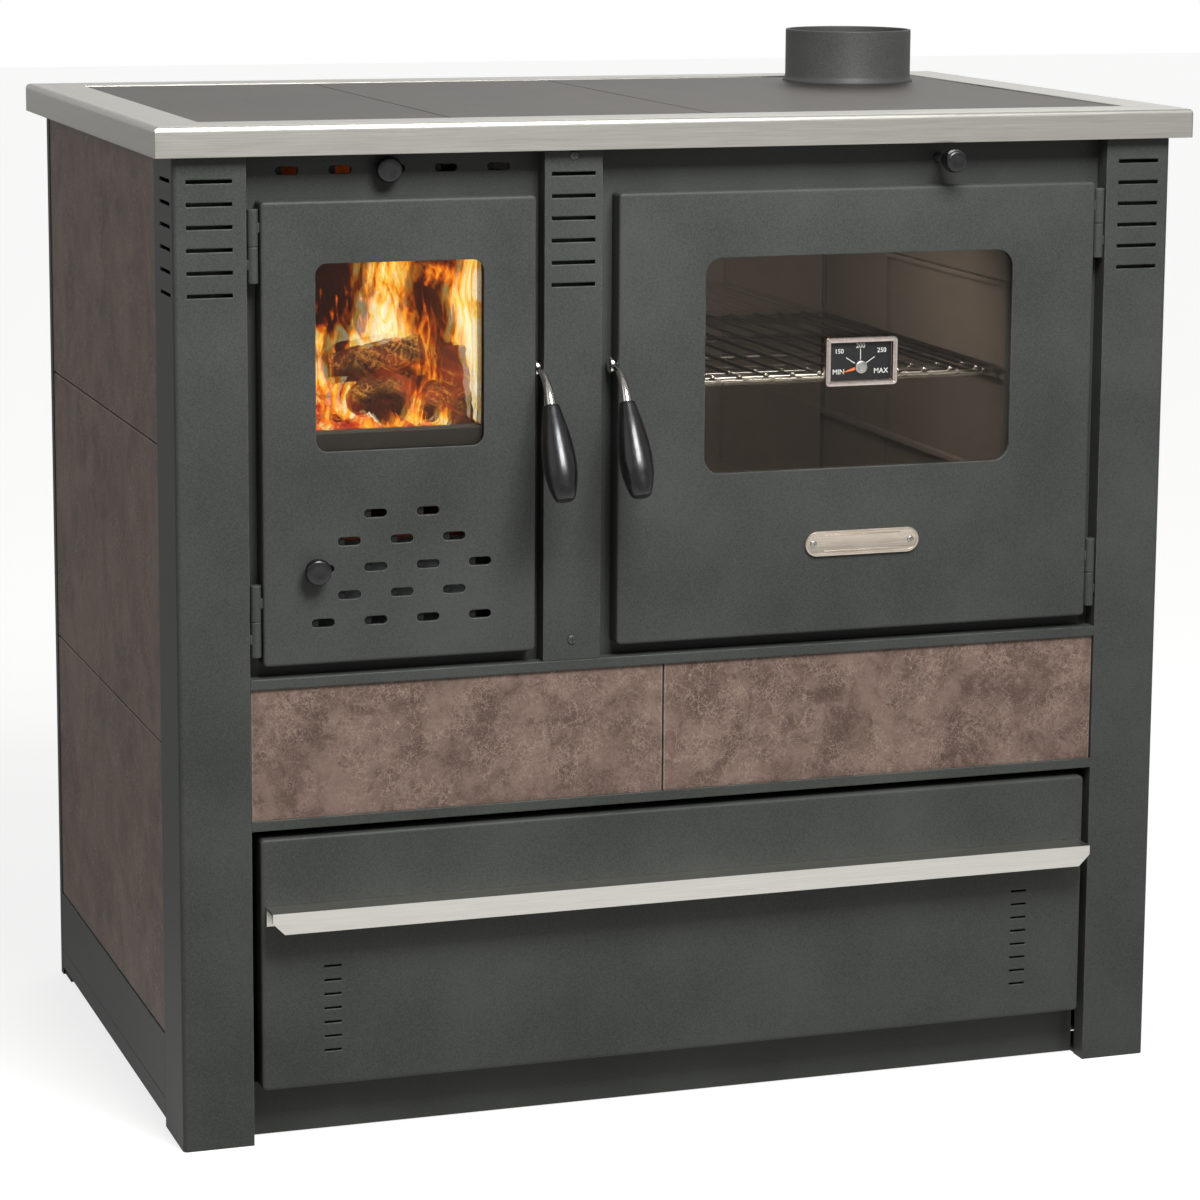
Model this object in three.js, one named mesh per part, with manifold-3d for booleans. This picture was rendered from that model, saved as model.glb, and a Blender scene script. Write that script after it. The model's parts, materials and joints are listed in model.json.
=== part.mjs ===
// A free-standing wood cookstove in millimetres, +Z up, with its front facing -Y.
// Firebox behind the left door, oven behind the right door, hob on top, drawer below.
// The origin is the middle of the footprint, on the floor.

import * as THREE from 'three';
import { mergeVertices } from 'three/addons/utils/BufferGeometryUtils.js';
import Module from 'manifold-3d';

// ---- Overall sizes ----
const BODY_W = 880; // across the corner posts
const BODY_D = 545; // front posts' face to the back of the rear posts
const TOP_Z = 850; // worktop surface above the floor

// ---- Sheet, fits and fine edges ----
const FIT_GAP = 0.3; // between pieces that touch
const SHEET = 2; // posts, doors and drawer front
const PANEL_T = 1.5; // side, back and drawer sheets
const PLATE_STEEL = 3; // front plate and worktop skin
const BEND_R = 4; // outer radius of a folded edge
const EDGE_R = 2.5; // rounded edge of a door or drawer front
const ARRIS = 0.8; // small bevel on tiles and hob plates
const OVERRUN = 1; // a cutting solid runs this far past the face it opens
const ROUND_STEPS = 14; // facets of a small round
const SMOOTH_STEPS = 32; // facets of a large round
const SLOT_ARC = 2; // facets of a quarter round at a slot's end
const ROUND_END = 0.49; // radius of a slot's round end, as a share of its height
const FOOT_T = 3; // foot plate in the bottom of a post

// ---- Worktop and hob ----
const OVERHANG_SIDE = 16;
const OVERHANG_FRONT = 10;
const OVERHANG_BACK = 12;
const SKIRT_H = 25;
const RIM_W = 45; // width of the brushed rim
const RIM_R = 4; // rounding of the rim's top edge
const LEDGE_W = 12; // ledge that the hob plates rest on
const LEDGE_T = 2.2;
const CROSS_BAR_W = 22; // bars under the joints of the hob plates
const HOB_T = 9;
const HOB_DROP = 1; // hob surface below the rim
const HOB_GAP = 1; // round each hob plate
const HOB_LEFT_W = 216;
const HOB_MIDDLE_W = 231;

// ---- Flue ----
const FLUE_TO_SIDE = 29; // collar's foot to the rim on the right
const FLUE_TO_BACK = 5; // and to the rim at the back
const FLUE_R = 60; // takes a 120 mm pipe
const FLUE_WALL = 3;
const FLUE_SEAT = 1.2; // shallow seat in the hob plate that centres the collar's foot
const FLUE_H = 50.2; // collar above its seat
const FLUE_SPIGOT = 7.8; // collar's neck down through the hob plate
const FLUE_FOOT = 2; // collar is this much wider at its foot
const NECK_INSET = 4.5; // neck inside the collar's outer radius

// ---- Posts ----
const POST_FRONT = 60; // leg of a front post across the front
const POST_SIDE = 70; // leg of a front post along the side
const REAR_SIDE = 14; // leg of a rear post along the side
const REAR_BACK = 60; // leg of a rear post across the back
const REAR_FOOT = 42; // foot plate of a rear post along the side
const RECESS = 18; // front plate behind the posts' face
const CENTER_POST_W = 50;
const VENT_L = 38;
const VENT_H = 3.3;
const VENT_COUNT = 6;
const VENT_PITCH = 18.35;
const VENT_DROP = 20; // first vent below the worktop's skirt
const VENT_INSET = 29.7; // middle of a vent from the outer corner

// ---- Sides ----
const BASE_FROM_FLOOR = 7.5;
const BASE_H = 81; // top of the dark base strip
const BASE_GROOVE_Z = 25;
const BASE_GROOVE = 0.5;
const BACK_FLANGE = 12; // folded forward along the back sheet's top
const TILE_T = 9;
const TILE_INSET = 0.8; // tile face behind the posts' face
const TILE_ROWS = 3;
const TILE_JOINT = 1.2;
const TILE_TOP_DROP = 16.3; // top tile ends this far below the worktop surface, behind the skirt

// ---- Front, from the floor up ----
const PLINTH_Z = 1;
const PLINTH_BACK = 24; // plinth behind the posts' face
const DRAWER_Z = 47;
const DRAWER_H = 215;
const TILE_BAND_Z = 269;
const TILE_BAND_H = 127.5;
const TILE_LIP = 8.5; // visible rail above and below the front tiles
const TILE_SPLIT = 359; // joint of the front tiles from the left post
const DOOR_Z = 407;
const DOOR_DROP = 37; // strip above the doors, below the skirt

// ---- Doors ----
const FIRE_DOOR_W = 232.5;
const DOOR_PROUD = 2; // doors and drawer stand in front of the posts
const HINGE_GAP = 11; // post to door on the hinge side
const FIRE_LATCH_GAP = 7.5;
const OVEN_LATCH_GAP = 14.5;
// Windows, from the door's sides, top and bottom edges.
const FIRE_WINDOW = { side: 45, drop: 51, sill: 176, radius: 10 };
const OVEN_WINDOW = { side: 76.5, drop: 56, sill: 142, radius: 15 };
const GLASS_T = 4;
const GLASS_LAP = 12; // glass behind the door sheet
const KEEP_W = 16; // band of the frame that holds the glass
const LEDGE_RISE = 14; // lower edge of that frame that shows through the fire glass
const LEDGE_DEPTH = 8;

// ---- Air slots and slides ----
const SLOT_L = 19.5;
const SLOT_H = 7;
const SLOT_PITCH = 22.35; // half the pitch within a row
const ROW_PITCH = 22.3;
const LOWEST_ROW = 34.3; // lowest row of slots above the door's edge
const SLOT_COLUMNS = [[1, 3, 5, 7], [2, 4, 6], [3, 5, 7], [2, 4, 6], [3, 5]]; // from the lowest row
const FIRST_COLUMN = 50; // first column of slots from the door's hinge edge
const KNOB_ROW = 2;
const STEM_R = 3;
const STEM_PLAY = 0.25;
const TOP_SLOT_COUNT = 5;
const TOP_SLOT_DROP = 14; // slots above the fire door below the skirt
const SLIDE_T = 1.5;
const SLIDE_MARGIN = 8;
const SLIDE_END = 2; // top slide past its outer slots
const RAIL_T = 3; // rails that guide a slide
const RAIL_LAP = 1; // and their depth behind it
const KNOB_R = 11;
const KNOB_L = 14;
// [share of the radius, share of the length] from a knob's foot to its crown.
const KNOB_PROFILE = [
  [0, 0], [0.62, 0], [0.62, 0.3], [1, 0.45], [1, 0.8], [0.9, 0.93], [0.72, 1], [0, 1],
];
const KNOB_STEPS = 16;

// ---- Hinges ----
const BARREL_R = 4.5;
const BARREL_L = 30; // each half of a hinge
const PIN_R = 2.5;
const PIN_L = 18;
const PIN_PLAY = 0.4;
const TAB_H = 8;
const HINGE_FROM_TOP = 36; // middle of the upper hinge below the door's top
const HINGE_FROM_BOTTOM = 38; // middle of the lower hinge above the door's bottom
const AXIS_Y = 3; // hinge axis behind the posts' face

// ---- Door handles ----
const HANDLE_DROP = 144; // pivot below the door's top
const HANDLE_Y = 8; // pivot behind the posts' face
const HUB_R = 7;
const HUB_T = 5;
const HUB_GAP = 0.6; // hub to the door's side
const PIVOT_R = 3;
const CAM_T = 4; // latch cam on the pivot's inner end
const CAM_HALF = 5;
const CAM_CLEAR = 1.5; // cam to the front plate
const SHANK_REACH = 40.6; // pivot to the top of the grip, forwards
const SHANK_FALL = 26.1; // and downwards
const SHANK_R = [2.2, 4.6]; // at the hub and at the grip
const SHANK_BOW = 0.6; // how far the shank runs on before it bends, as a share of its reach
const SHANK_RINGS = 8;
const HUB_STEPS = 22;
const GRIP_TILT = 27.7; // degrees from upright
const GRIP_L = 81.7;
// [radius, distance below the grip's top], widest below its middle.
const GRIP_PROFILE = [
  [6.7, 0], [8.4, 8], [11.2, 22], [13.3, 38], [13.9, 50], [13.2, 62], [10.6, 74], [8.2, 80.2],
];
const GRIP_END_R = 7;
const GRIP_STEPS = 20;

// ---- Firebox ----
const FIREBOX_INSET = 9; // casing inside the fire door's edges
const CASING_T = 2.5;
const BRICK_T = 25;
const FIREBOX_BACK = 90; // back of the casing from the back of the stove
const CASING_Z = 417.5;
const CASING_DROP = 2.5; // casing's top below the doors' top
const GRATE_SEAT = 113; // shelf for the grate above the casing's floor
const GRATE_T = 12;
const GRATE_BARS = 8;
const GRATE_SLOT = 10;
const GRATE_EDGE = 14;
const SHELF_LAP = 12; // grate on its shelf
const SHELF_FRONT = 28; // front strip of that shelf
const BRICK_DROP = 6.2; // bricks end below the casing's top
const ASH_PAN_H = 84;
const ASH_PAN_INSET = 8;
const ASH_LIP = 12;
const ASH_LIP_DROP = 6; // lip turned down in front
const ASH_PAN_FRONT = 2; // lip behind the casing's open front

// ---- Oven ----
const OVEN_LEFT = 22.5; // oven's inner wall from the door's latch edge
const OVEN_RIGHT = 57.5; // and from its hinge edge, with the flue passage beside it
const OVEN_Z = 428;
const OVEN_DROP = 16; // oven's ceiling below the doors' top
const OVEN_BACK = 73; // oven's back wall from the back of the stove
const OVEN_FLANGE = 12;
const RIB_W = 8; // pressed runners on the oven's walls
const RIB_H = 4;
const RIB_LEVELS = [100, 189, 270]; // above the oven's floor
const RACK_LEVEL = 1; // runner that carries the rack
const RACK_FRONT = 50; // rack's front bar behind the posts' face
const RACK_BAR_R = 3;
const RACK_WIRE_R = 1.8;
const RACK_WIRES = 13;
const RACK_CLEAR = 1.5;
const RACK_STEPS = 10;
const WIRE_STEPS = 6;

// ---- Thermometer and plate on the oven door ----
const DIAL_W = 65;
const DIAL_H = 41;
const DIAL_DEPTH = 7;
const DIAL_RIM = 4;
const DIAL_CORNER_R = 2;
const DIAL_FLOOR = 2.5;
const DIAL_STEM_R = 4;
const DIAL_STEM_L = 12;
const DIAL_NUT_R = 8;
const DIAL_NUT_T = 3;
const NEEDLE_DROP = 5; // needle's axis below the middle of the dial
const NEEDLE_HUB_R = 5.5;
const NEEDLE_HUB_T = 3.5;
const NEEDLE_L = 17.6;
const NEEDLE_HALF_W = 1.6; // at the hub
const NEEDLE_T = 1;
const NEEDLE_DIP = 15; // degrees below level at rest
const NEEDLE_SPINDLE_R = 1.5;
const NEEDLE_SPINDLE_L = 2.2;
const BADGE_W = 104.5;
const BADGE_H = 21.5;
const BADGE_T = 2;
const BADGE_BAR = 2.6;
const BADGE_Z = 77.5; // middle of the plate above the door's bottom
const BADGE_SHIFT = 4; // plate to the right of the window's middle

// ---- Damper ----
const DAMPER_FROM_FLUE = 91; // rod to the left of the flue's axis
const DAMPER_DROP = 15; // rod below the skirt
const ROD_R = 4;
const DAMPER_KNOB_R = 10;
const DAMPER_KNOB_L = 22;
const DAMPER_STANDOFF = 20; // knob in front of the front plate
const DAMPER_LAP = 15; // plate past the collar's radius on each side
const DAMPER_T = 3;
const DAMPER_EAR = 20; // plate reaches this much further left, to the rod

// ---- Drawer ----
const DRAWER_SIDE_GAP = 7; // drawer front to the left post
const DRAWER_BOX_SIDE = 22; // box inside the posts' inner edges
const DRAWER_BOX_H = 147;
const DRAWER_BACK = 75; // back of the box from the back of the stove
const PULL_TOP = 158; // handle bar's top above the drawer's bottom
const PULL_REACH = 24;
const PULL_H = 18;
const PULL_INSET = 4;
const PULL_CHAMFER = 10;
const PULL_BACK_H = 16;
const DRAWER_VENT_L = 15;
const DRAWER_VENT_H = 2;
const DRAWER_VENT_PITCH = 12.1;
const DRAWER_VENT_COUNTS = [7, 8]; // left and right column
const DRAWER_VENT_Z = 30.3; // lowest drawer vent above the drawer's bottom
const DRAWER_VENT_INSET = 60.5; // columns from the drawer front's ends
const DRAWER_FLANGE = 14;
const RUNNER_W = 20; // runner's foot on the base pan
const RUNNER_H = 27;
const RUNNER_LAP = 16; // runner under the drawer box
const PAN_Z = 20; // base pan's floor

// ---- Places worked out from the sizes ----
const halfW = BODY_W / 2;
const skirtZ = TOP_Z - SKIRT_H;
const bodyTopZ = TOP_Z - PLATE_STEEL - FIT_GAP; // pieces end here, under the worktop's skin
const postInner = halfW - POST_FRONT; // the front posts' inner edges
const doorTopZ = skirtZ - DOOR_DROP;
const doorH = doorTopZ - DOOR_Z;
const fireHingeX = -postInner + HINGE_GAP / 2;
const ovenHingeX = postInner - HINGE_GAP / 2;
const fireDoorX = -postInner + HINGE_GAP; // fire door's left edge
const centerPostX = fireDoorX + FIRE_DOOR_W + FIRE_LATCH_GAP; // center post's left edge
const ovenDoorX = centerPostX + CENTER_POST_W + OVEN_LATCH_GAP; // oven door's left edge
const ovenDoorW = postInner - HINGE_GAP - ovenDoorX;
const worktopBack = BODY_D + OVERHANG_BACK;
const edgeToAxis = HINGE_GAP / 2; // door's hinge edge to its hinge axis
const doorT = DOOR_PROUD + RECESS - FIT_GAP; // door's face to the back of its folded sides
const neckR = FLUE_R - NECK_INSET;
const flueX = halfW + OVERHANG_SIDE - RIM_W - FLUE_TO_SIDE - FLUE_R - FLUE_FOOT;
const flueY = worktopBack - RIM_W - FLUE_TO_BACK - FLUE_R - FLUE_FOOT;
const damperX = flueX - DAMPER_FROM_FLUE;
const damperZ = skirtZ - DAMPER_DROP;
const casingTopZ = doorTopZ - CASING_DROP;
const ovenTopZ = doorTopZ - OVEN_DROP;
const slotTravel = SLOT_L - 2 * STEM_R - 2 * STEM_PLAY;

const wasm = await Module();
wasm.setup();

// ---- Solids: three.js geometry in, joined and cut by manifold-3d ----

function solid(geometry) {
  const loose = geometry.index ? geometry.toNonIndexed() : geometry;
  const bare = new THREE.BufferGeometry();
  bare.setAttribute('position', loose.getAttribute('position'));
  const merged = mergeVertices(bare);
  const mesh = new wasm.Mesh({
    numProp: 3,
    vertProperties: merged.attributes.position.array,
    triVerts: new Uint32Array(merged.index.array),
  });
  return new wasm.Manifold(mesh);
}

function geometryOf(body) {
  const mesh = body.getMesh();
  const geometry = new THREE.BufferGeometry();
  geometry.setAttribute('position', new THREE.BufferAttribute(mesh.vertProperties, mesh.numProp));
  geometry.setIndex(new THREE.BufferAttribute(mesh.triVerts, 1));
  geometry.computeVertexNormals();
  return geometry;
}

function joined(bodies) {
  return bodies.reduce((whole, body) => whole.add(body));
}

function cut(body, cutters) {
  return cutters.reduce((rest, cutter) => rest.subtract(cutter), body);
}

function box(low, high) {
  const size = high.map((value, i) => value - low[i]);
  const middle = high.map((value, i) => (value + low[i]) / 2);
  return solid(new THREE.BoxGeometry(...size).translate(...middle));
}

// The plane that an outline is drawn in, named by the direction it is pushed along.
const PUSH_AXES = {
  X: new THREE.Matrix4().makeBasis(
    new THREE.Vector3(0, 1, 0), new THREE.Vector3(0, 0, 1), new THREE.Vector3(1, 0, 0)),
  Y: new THREE.Matrix4().makeBasis(
    new THREE.Vector3(1, 0, 0), new THREE.Vector3(0, 0, 1), new THREE.Vector3(0, -1, 0)),
  Z: new THREE.Matrix4(),
};

// Pushes an outline from one coordinate to another along an axis. An X outline is drawn in Y and Z, a Y
// outline in X and Z, and a Z outline in X and Y.
function pushed(shape, axis, from, to, curveSegments = 5) {
  const depth = to - from;
  const geometry = new THREE.ExtrudeGeometry(shape, { depth, curveSegments, bevelEnabled: false });
  geometry.applyMatrix4(PUSH_AXES[axis]);
  const shift = { X: [from, 0, 0], Y: [0, to, 0], Z: [0, 0, from] }[axis];
  return solid(geometry.translate(...shift));
}

// The same with all edges of both ends rounded or bevelled by an amount taken off the outline.
function eased(shape, axis, from, to, amount, bevelSegments, curveSegments = 4) {
  const depth = to - from - 2 * amount;
  const geometry = new THREE.ExtrudeGeometry(shape, {
    depth, curveSegments, bevelSegments, bevelSize: amount, bevelThickness: amount,
  });
  geometry.applyMatrix4(PUSH_AXES[axis]);
  const shift = { X: [from + amount, 0, 0], Y: [0, to - amount, 0], Z: [0, 0, from + amount] }[axis];
  return solid(geometry.translate(...shift));
}

function roundedRect(left, bottom, right, top, radius) {
  const shape = new THREE.Shape();
  shape.moveTo(left + radius, bottom);
  shape.lineTo(right - radius, bottom);
  shape.absarc(right - radius, bottom + radius, radius, -Math.PI / 2, 0);
  shape.lineTo(right, top - radius);
  shape.absarc(right - radius, top - radius, radius, 0, Math.PI / 2);
  shape.lineTo(left + radius, top);
  shape.absarc(left + radius, top - radius, radius, Math.PI / 2, Math.PI);
  shape.lineTo(left, bottom + radius);
  shape.absarc(left + radius, bottom + radius, radius, Math.PI, Math.PI * 1.5);
  return shape;
}

function rect(left, bottom, right, top) {
  return outline([[left, bottom], [right, bottom], [right, top], [left, top]]);
}

function outline(points) {
  return new THREE.Shape(points.map(([u, v]) => new THREE.Vector2(u, v)));
}

// A slot with round ends, and one with square ends, by their middle.
function roundSlot(middleU, middleV, length, height) {
  const radius = height * ROUND_END;
  return roundedRect(
    middleU - length / 2, middleV - height / 2, middleU + length / 2, middleV + height / 2, radius);
}

function squareSlot(middleU, middleV, length, height) {
  return rect(middleU - length / 2, middleV - height / 2, middleU + length / 2, middleV + height / 2);
}

// A round bar that starts at a point and runs along +X, +Y or +Z.
function bar(radius, start, length, axis, steps = ROUND_STEPS) {
  const geometry = new THREE.CylinderGeometry(radius, radius, length, steps);
  geometry.translate(0, length / 2, 0);
  if (axis === 'X') geometry.rotateZ(-Math.PI / 2);
  if (axis === 'Z') geometry.rotateX(Math.PI / 2);
  return solid(geometry.translate(...start));
}

// Turns a profile of [radius, height] points about +Z.
function turned(points, steps = SMOOTH_STEPS) {
  const profile = points.map(([radius, height]) => new THREE.Vector2(radius, height));
  return new THREE.LatheGeometry(profile, steps).rotateX(Math.PI / 2);
}

// ---- Finishes ----

function finish(color, roughness, metalness) {
  return () => new THREE.MeshStandardMaterial({ color, roughness, metalness });
}

const charcoalPaint = finish('#454847', 0.62, 0.35);
const darkSteel = finish('#33312f', 0.7, 0.5);
const brushedSteel = finish('#b7b5ae', 0.35, 1);
const hobSteel = finish('#625e57', 0.5, 0.7);
const stoneTile = finish('#6b5750', 0.45, 0);
const clearGlass = finish('#9aa19c', 0.05, 0);
const blackGloss = finish('#0c0c0d', 0.18, 0);
const polishedChrome = finish('#d8d6d2', 0.12, 1);
const fireclay = finish('#b39b7c', 0.9, 0);
const castIron = finish('#2c2b2a', 0.75, 0.6);
const ovenEnamel = finish('#57504a', 0.45, 0.3);
const needleRed = finish('#a63d2a', 0.4, 0);
const paleNickel = finish('#c9bfae', 0.3, 1);
const galvanised = finish('#8d9092', 0.5, 0.9);

function piece(name, body, material, parent) {
  const geometry = body.isBufferGeometry ? body : geometryOf(body);
  const mesh = new THREE.Mesh(geometry, material());
  mesh.name = name;
  parent.add(mesh);
  return mesh;
}

function groupAt(parent, x, y, z) {
  const group = new THREE.Group();
  group.position.set(x, y, z);
  parent.add(group);
  return group;
}

// y = 0 is the front posts' face until the whole stove is centred at the end.
const stove = new THREE.Group();

// ---- Worktop frame, hob plates and flue collar ----

function buildHob(parent) {
  const left = -halfW - OVERHANG_SIDE;
  const right = halfW + OVERHANG_SIDE;
  const front = -OVERHANG_FRONT;
  const back = worktopBack;
  const seatZ = TOP_Z - HOB_DROP - HOB_T - FIT_GAP;
  const ring = (inset) => rect(left + inset, front + inset, right - inset, back - inset);
  const openLeft = left + RIM_W;
  const openRight = right - RIM_W;

  const skin = cut(
    eased(ring(RIM_R), 'Z', skirtZ - RIM_R, TOP_Z, RIM_R, 3),
    [
      box([left - OVERRUN, front - OVERRUN, skirtZ - 2 * RIM_R], [right + OVERRUN, back + OVERRUN, skirtZ]),
      pushed(ring(PLATE_STEEL), 'Z', skirtZ - OVERRUN, TOP_Z - PLATE_STEEL),
      pushed(ring(RIM_W), 'Z', skirtZ, TOP_Z + OVERRUN),
    ]);
  const ledge = cut(
    pushed(ring(RIM_W - PLATE_STEEL), 'Z', seatZ - LEDGE_T, TOP_Z - PLATE_STEEL / 2),
    [
      pushed(ring(RIM_W), 'Z', seatZ, TOP_Z + OVERRUN),
      pushed(ring(RIM_W + LEDGE_W), 'Z', seatZ - LEDGE_T - OVERRUN, seatZ + OVERRUN),
    ]);
  const joints = [openLeft + HOB_LEFT_W, openLeft + HOB_LEFT_W + HOB_MIDDLE_W];
  const crossBars = joints.map((x) => box(
    [x - CROSS_BAR_W / 2, front + RIM_W - PLATE_STEEL / 2, seatZ - LEDGE_T],
    [x + CROSS_BAR_W / 2, back - RIM_W + PLATE_STEEL / 2, seatZ]));
  piece('worktop_frame', joined([skin, ledge, ...crossBars]), brushedSteel, parent);

  const hobPlate = (from, to) => eased(
    rect(from + HOB_GAP + ARRIS, front + RIM_W + HOB_GAP + ARRIS,
      to - HOB_GAP - ARRIS, back - RIM_W - HOB_GAP - ARRIS),
    'Z', seatZ + FIT_GAP, TOP_Z - HOB_DROP, ARRIS, 1);
  piece('hob_plate_left', hobPlate(openLeft, joints[0] + HOB_GAP / 2), hobSteel, parent);
  piece('hob_plate_middle', hobPlate(joints[0] - HOB_GAP / 2, joints[1] + HOB_GAP / 2), hobSteel, parent);

  const flueHole = bar(neckR + FIT_GAP + HOB_GAP, [flueX, flueY, seatZ - OVERRUN],
    HOB_T + 2 * OVERRUN, 'Z', SMOOTH_STEPS);
  const flueSeatZ = TOP_Z - HOB_DROP - FLUE_SEAT;
  const flueSeat = bar(FLUE_R + FLUE_FOOT + 2 * FIT_GAP, [flueX, flueY, flueSeatZ],
    FLUE_SEAT + OVERRUN, 'Z', SMOOTH_STEPS);
  const rightPlate = cut(hobPlate(joints[1] - HOB_GAP / 2, openRight), [flueHole, flueSeat]);
  piece('hob_plate_right', rightPlate, hobSteel, parent);

  const collar = groupAt(parent, flueX, flueY, flueSeatZ + FIT_GAP);
  const bore = FLUE_R - FLUE_WALL;
  const collarProfile = [
    [neckR - FLUE_WALL, -FLUE_SPIGOT],
    [neckR, -FLUE_SPIGOT],
    [neckR, 0],
    [FLUE_R + FLUE_FOOT, 0],
    [FLUE_R + FLUE_FOOT, FLUE_WALL],
    [FLUE_R + FLUE_FOOT / 2, 2 * FLUE_WALL],
    [FLUE_R, FLUE_H - ARRIS],
    [FLUE_R - ARRIS, FLUE_H],
    [bore + ARRIS, FLUE_H],
    [bore, FLUE_H - ARRIS],
    [bore, 2 * FLUE_WALL],
    [neckR - FLUE_WALL, FLUE_WALL],
    [neckR - FLUE_WALL, -FLUE_SPIGOT],
  ];
  piece('flue_collar', turned(collarProfile), darkSteel, collar);
}

// ---- Corner posts and center post ----

// Outline of a post folded from one sheet: a leg across the front and a leg along the side, with a rounded
// bend at the outer corner, and a return behind the front leg's free edge.
function postOutline(across, along, back) {
  const shape = new THREE.Shape();
  const inner = BEND_R - SHEET;
  shape.moveTo(0, along);
  shape.lineTo(0, BEND_R);
  shape.absarc(BEND_R, BEND_R, BEND_R, Math.PI, Math.PI * 1.5);
  shape.lineTo(across, 0);
  if (back > 0) {
    shape.lineTo(across, back);
    shape.lineTo(across - SHEET, back);
  }
  shape.lineTo(across - (back > 0 ? SHEET : 0), SHEET);
  shape.lineTo(BEND_R, SHEET);
  shape.absarc(BEND_R, BEND_R, inner, Math.PI * 1.5, Math.PI, true);
  shape.lineTo(SHEET, along);
  return shape;
}

function ventRow(middle, axis, from, to) {
  const firstZ = skirtZ - VENT_DROP;
  return Array.from({ length: VENT_COUNT }, (_, row) => pushed(
    squareSlot(middle, firstZ - row * VENT_PITCH, VENT_L, VENT_H), axis, from, to));
}

function buildPosts(parent) {
  const foot = (across, along) => box(
    [BEND_R / 2, BEND_R / 2, 0], [across - SHEET / 2, along, FOOT_T]);
  const frontPost = cut(
    joined([
      pushed(postOutline(POST_FRONT, POST_SIDE, RECESS - FIT_GAP), 'Z', 0, bodyTopZ),
      foot(POST_FRONT, POST_SIDE),
    ]),
    [
      ...ventRow(VENT_INSET, 'Y', -OVERRUN, SHEET + OVERRUN),
      ...ventRow(VENT_INSET, 'X', -OVERRUN, SHEET + OVERRUN),
    ]);
  const rearPost = joined([
    pushed(postOutline(REAR_BACK, REAR_SIDE, 0), 'Z', 0, bodyTopZ),
    foot(REAR_BACK, REAR_FOOT),
  ]);
  for (const [side, hand] of [['left', 1], ['right', -1]]) {
    const front = piece(`front_post_${side}`, frontPost, charcoalPaint, parent);
    front.position.x = -hand * halfW;
    front.scale.x = hand;
    const rear = piece(`rear_post_${side}`, rearPost, charcoalPaint, parent);
    rear.position.set(-hand * halfW, BODY_D, 0);
    rear.scale.set(hand, -1, 1);
  }

  // A channel between the doors: a face with a side folded back to the front plate at each edge.
  const back = RECESS - FIT_GAP;
  const channel = outline([
    [0, 0], [CENTER_POST_W, 0], [CENTER_POST_W, back], [CENTER_POST_W - SHEET, back],
    [CENTER_POST_W - SHEET, SHEET], [SHEET, SHEET], [SHEET, back], [0, back],
  ]);
  const body = cut(
    pushed(channel, 'Z', TILE_BAND_Z + TILE_BAND_H + FIT_GAP, bodyTopZ),
    ventRow(CENTER_POST_W / 2, 'Y', -OVERRUN, SHEET + OVERRUN));
  piece('center_post', body, charcoalPaint, parent).position.x = centerPostX;
}

// ---- Sides, back and base ----

function buildSides(parent) {
  const from = POST_SIDE + FIT_GAP;
  const to = BODY_D - REAR_SIDE - FIT_GAP;
  const seat = TILE_INSET + TILE_T + FIT_GAP; // side sheet behind the tiles
  const grooveZ = BASE_GROOVE_Z;
  const sheet = outline([
    [0, BASE_FROM_FLOOR], [seat, BASE_FROM_FLOOR], [seat, BASE_FROM_FLOOR + PANEL_T],
    [PANEL_T, BASE_FROM_FLOOR + PANEL_T], [PANEL_T, BASE_H - PANEL_T], [seat, BASE_H - PANEL_T],
    [seat + PANEL_T, BASE_H - PANEL_T], [seat + PANEL_T, bodyTopZ], [seat, bodyTopZ], [seat, BASE_H],
    [0, BASE_H], [0, grooveZ + BASE_GROOVE], [BASE_GROOVE, grooveZ + BASE_GROOVE],
    [BASE_GROOVE, grooveZ - BASE_GROOVE], [0, grooveZ - BASE_GROOVE],
  ]);
  const tilesTop = TOP_Z - TILE_TOP_DROP;
  const tilesLow = BASE_H + FIT_GAP;
  const tileH = (tilesTop - tilesLow - (TILE_ROWS - 1) * TILE_JOINT) / TILE_ROWS;
  const rows = ['lower', 'middle', 'upper'];
  const panel = pushed(sheet, 'Y', from, to);
  const tile = eased(rect(from + ARRIS, ARRIS, to - ARRIS, tileH - ARRIS), 'X', TILE_INSET,
    TILE_INSET + TILE_T, ARRIS, 1);
  for (const [side, hand] of [['left', 1], ['right', -1]]) {
    const skin = piece(`${side}_side_panel`, panel, charcoalPaint, parent);
    skin.position.x = -hand * halfW;
    skin.scale.x = hand;
    rows.forEach((row, i) => {
      const placed = piece(`${side}_tile_${row}`, tile, stoneTile, parent);
      placed.position.set(-hand * halfW, 0, tilesLow + i * (tileH + TILE_JOINT));
      placed.scale.x = hand;
    });
  }
}

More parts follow.
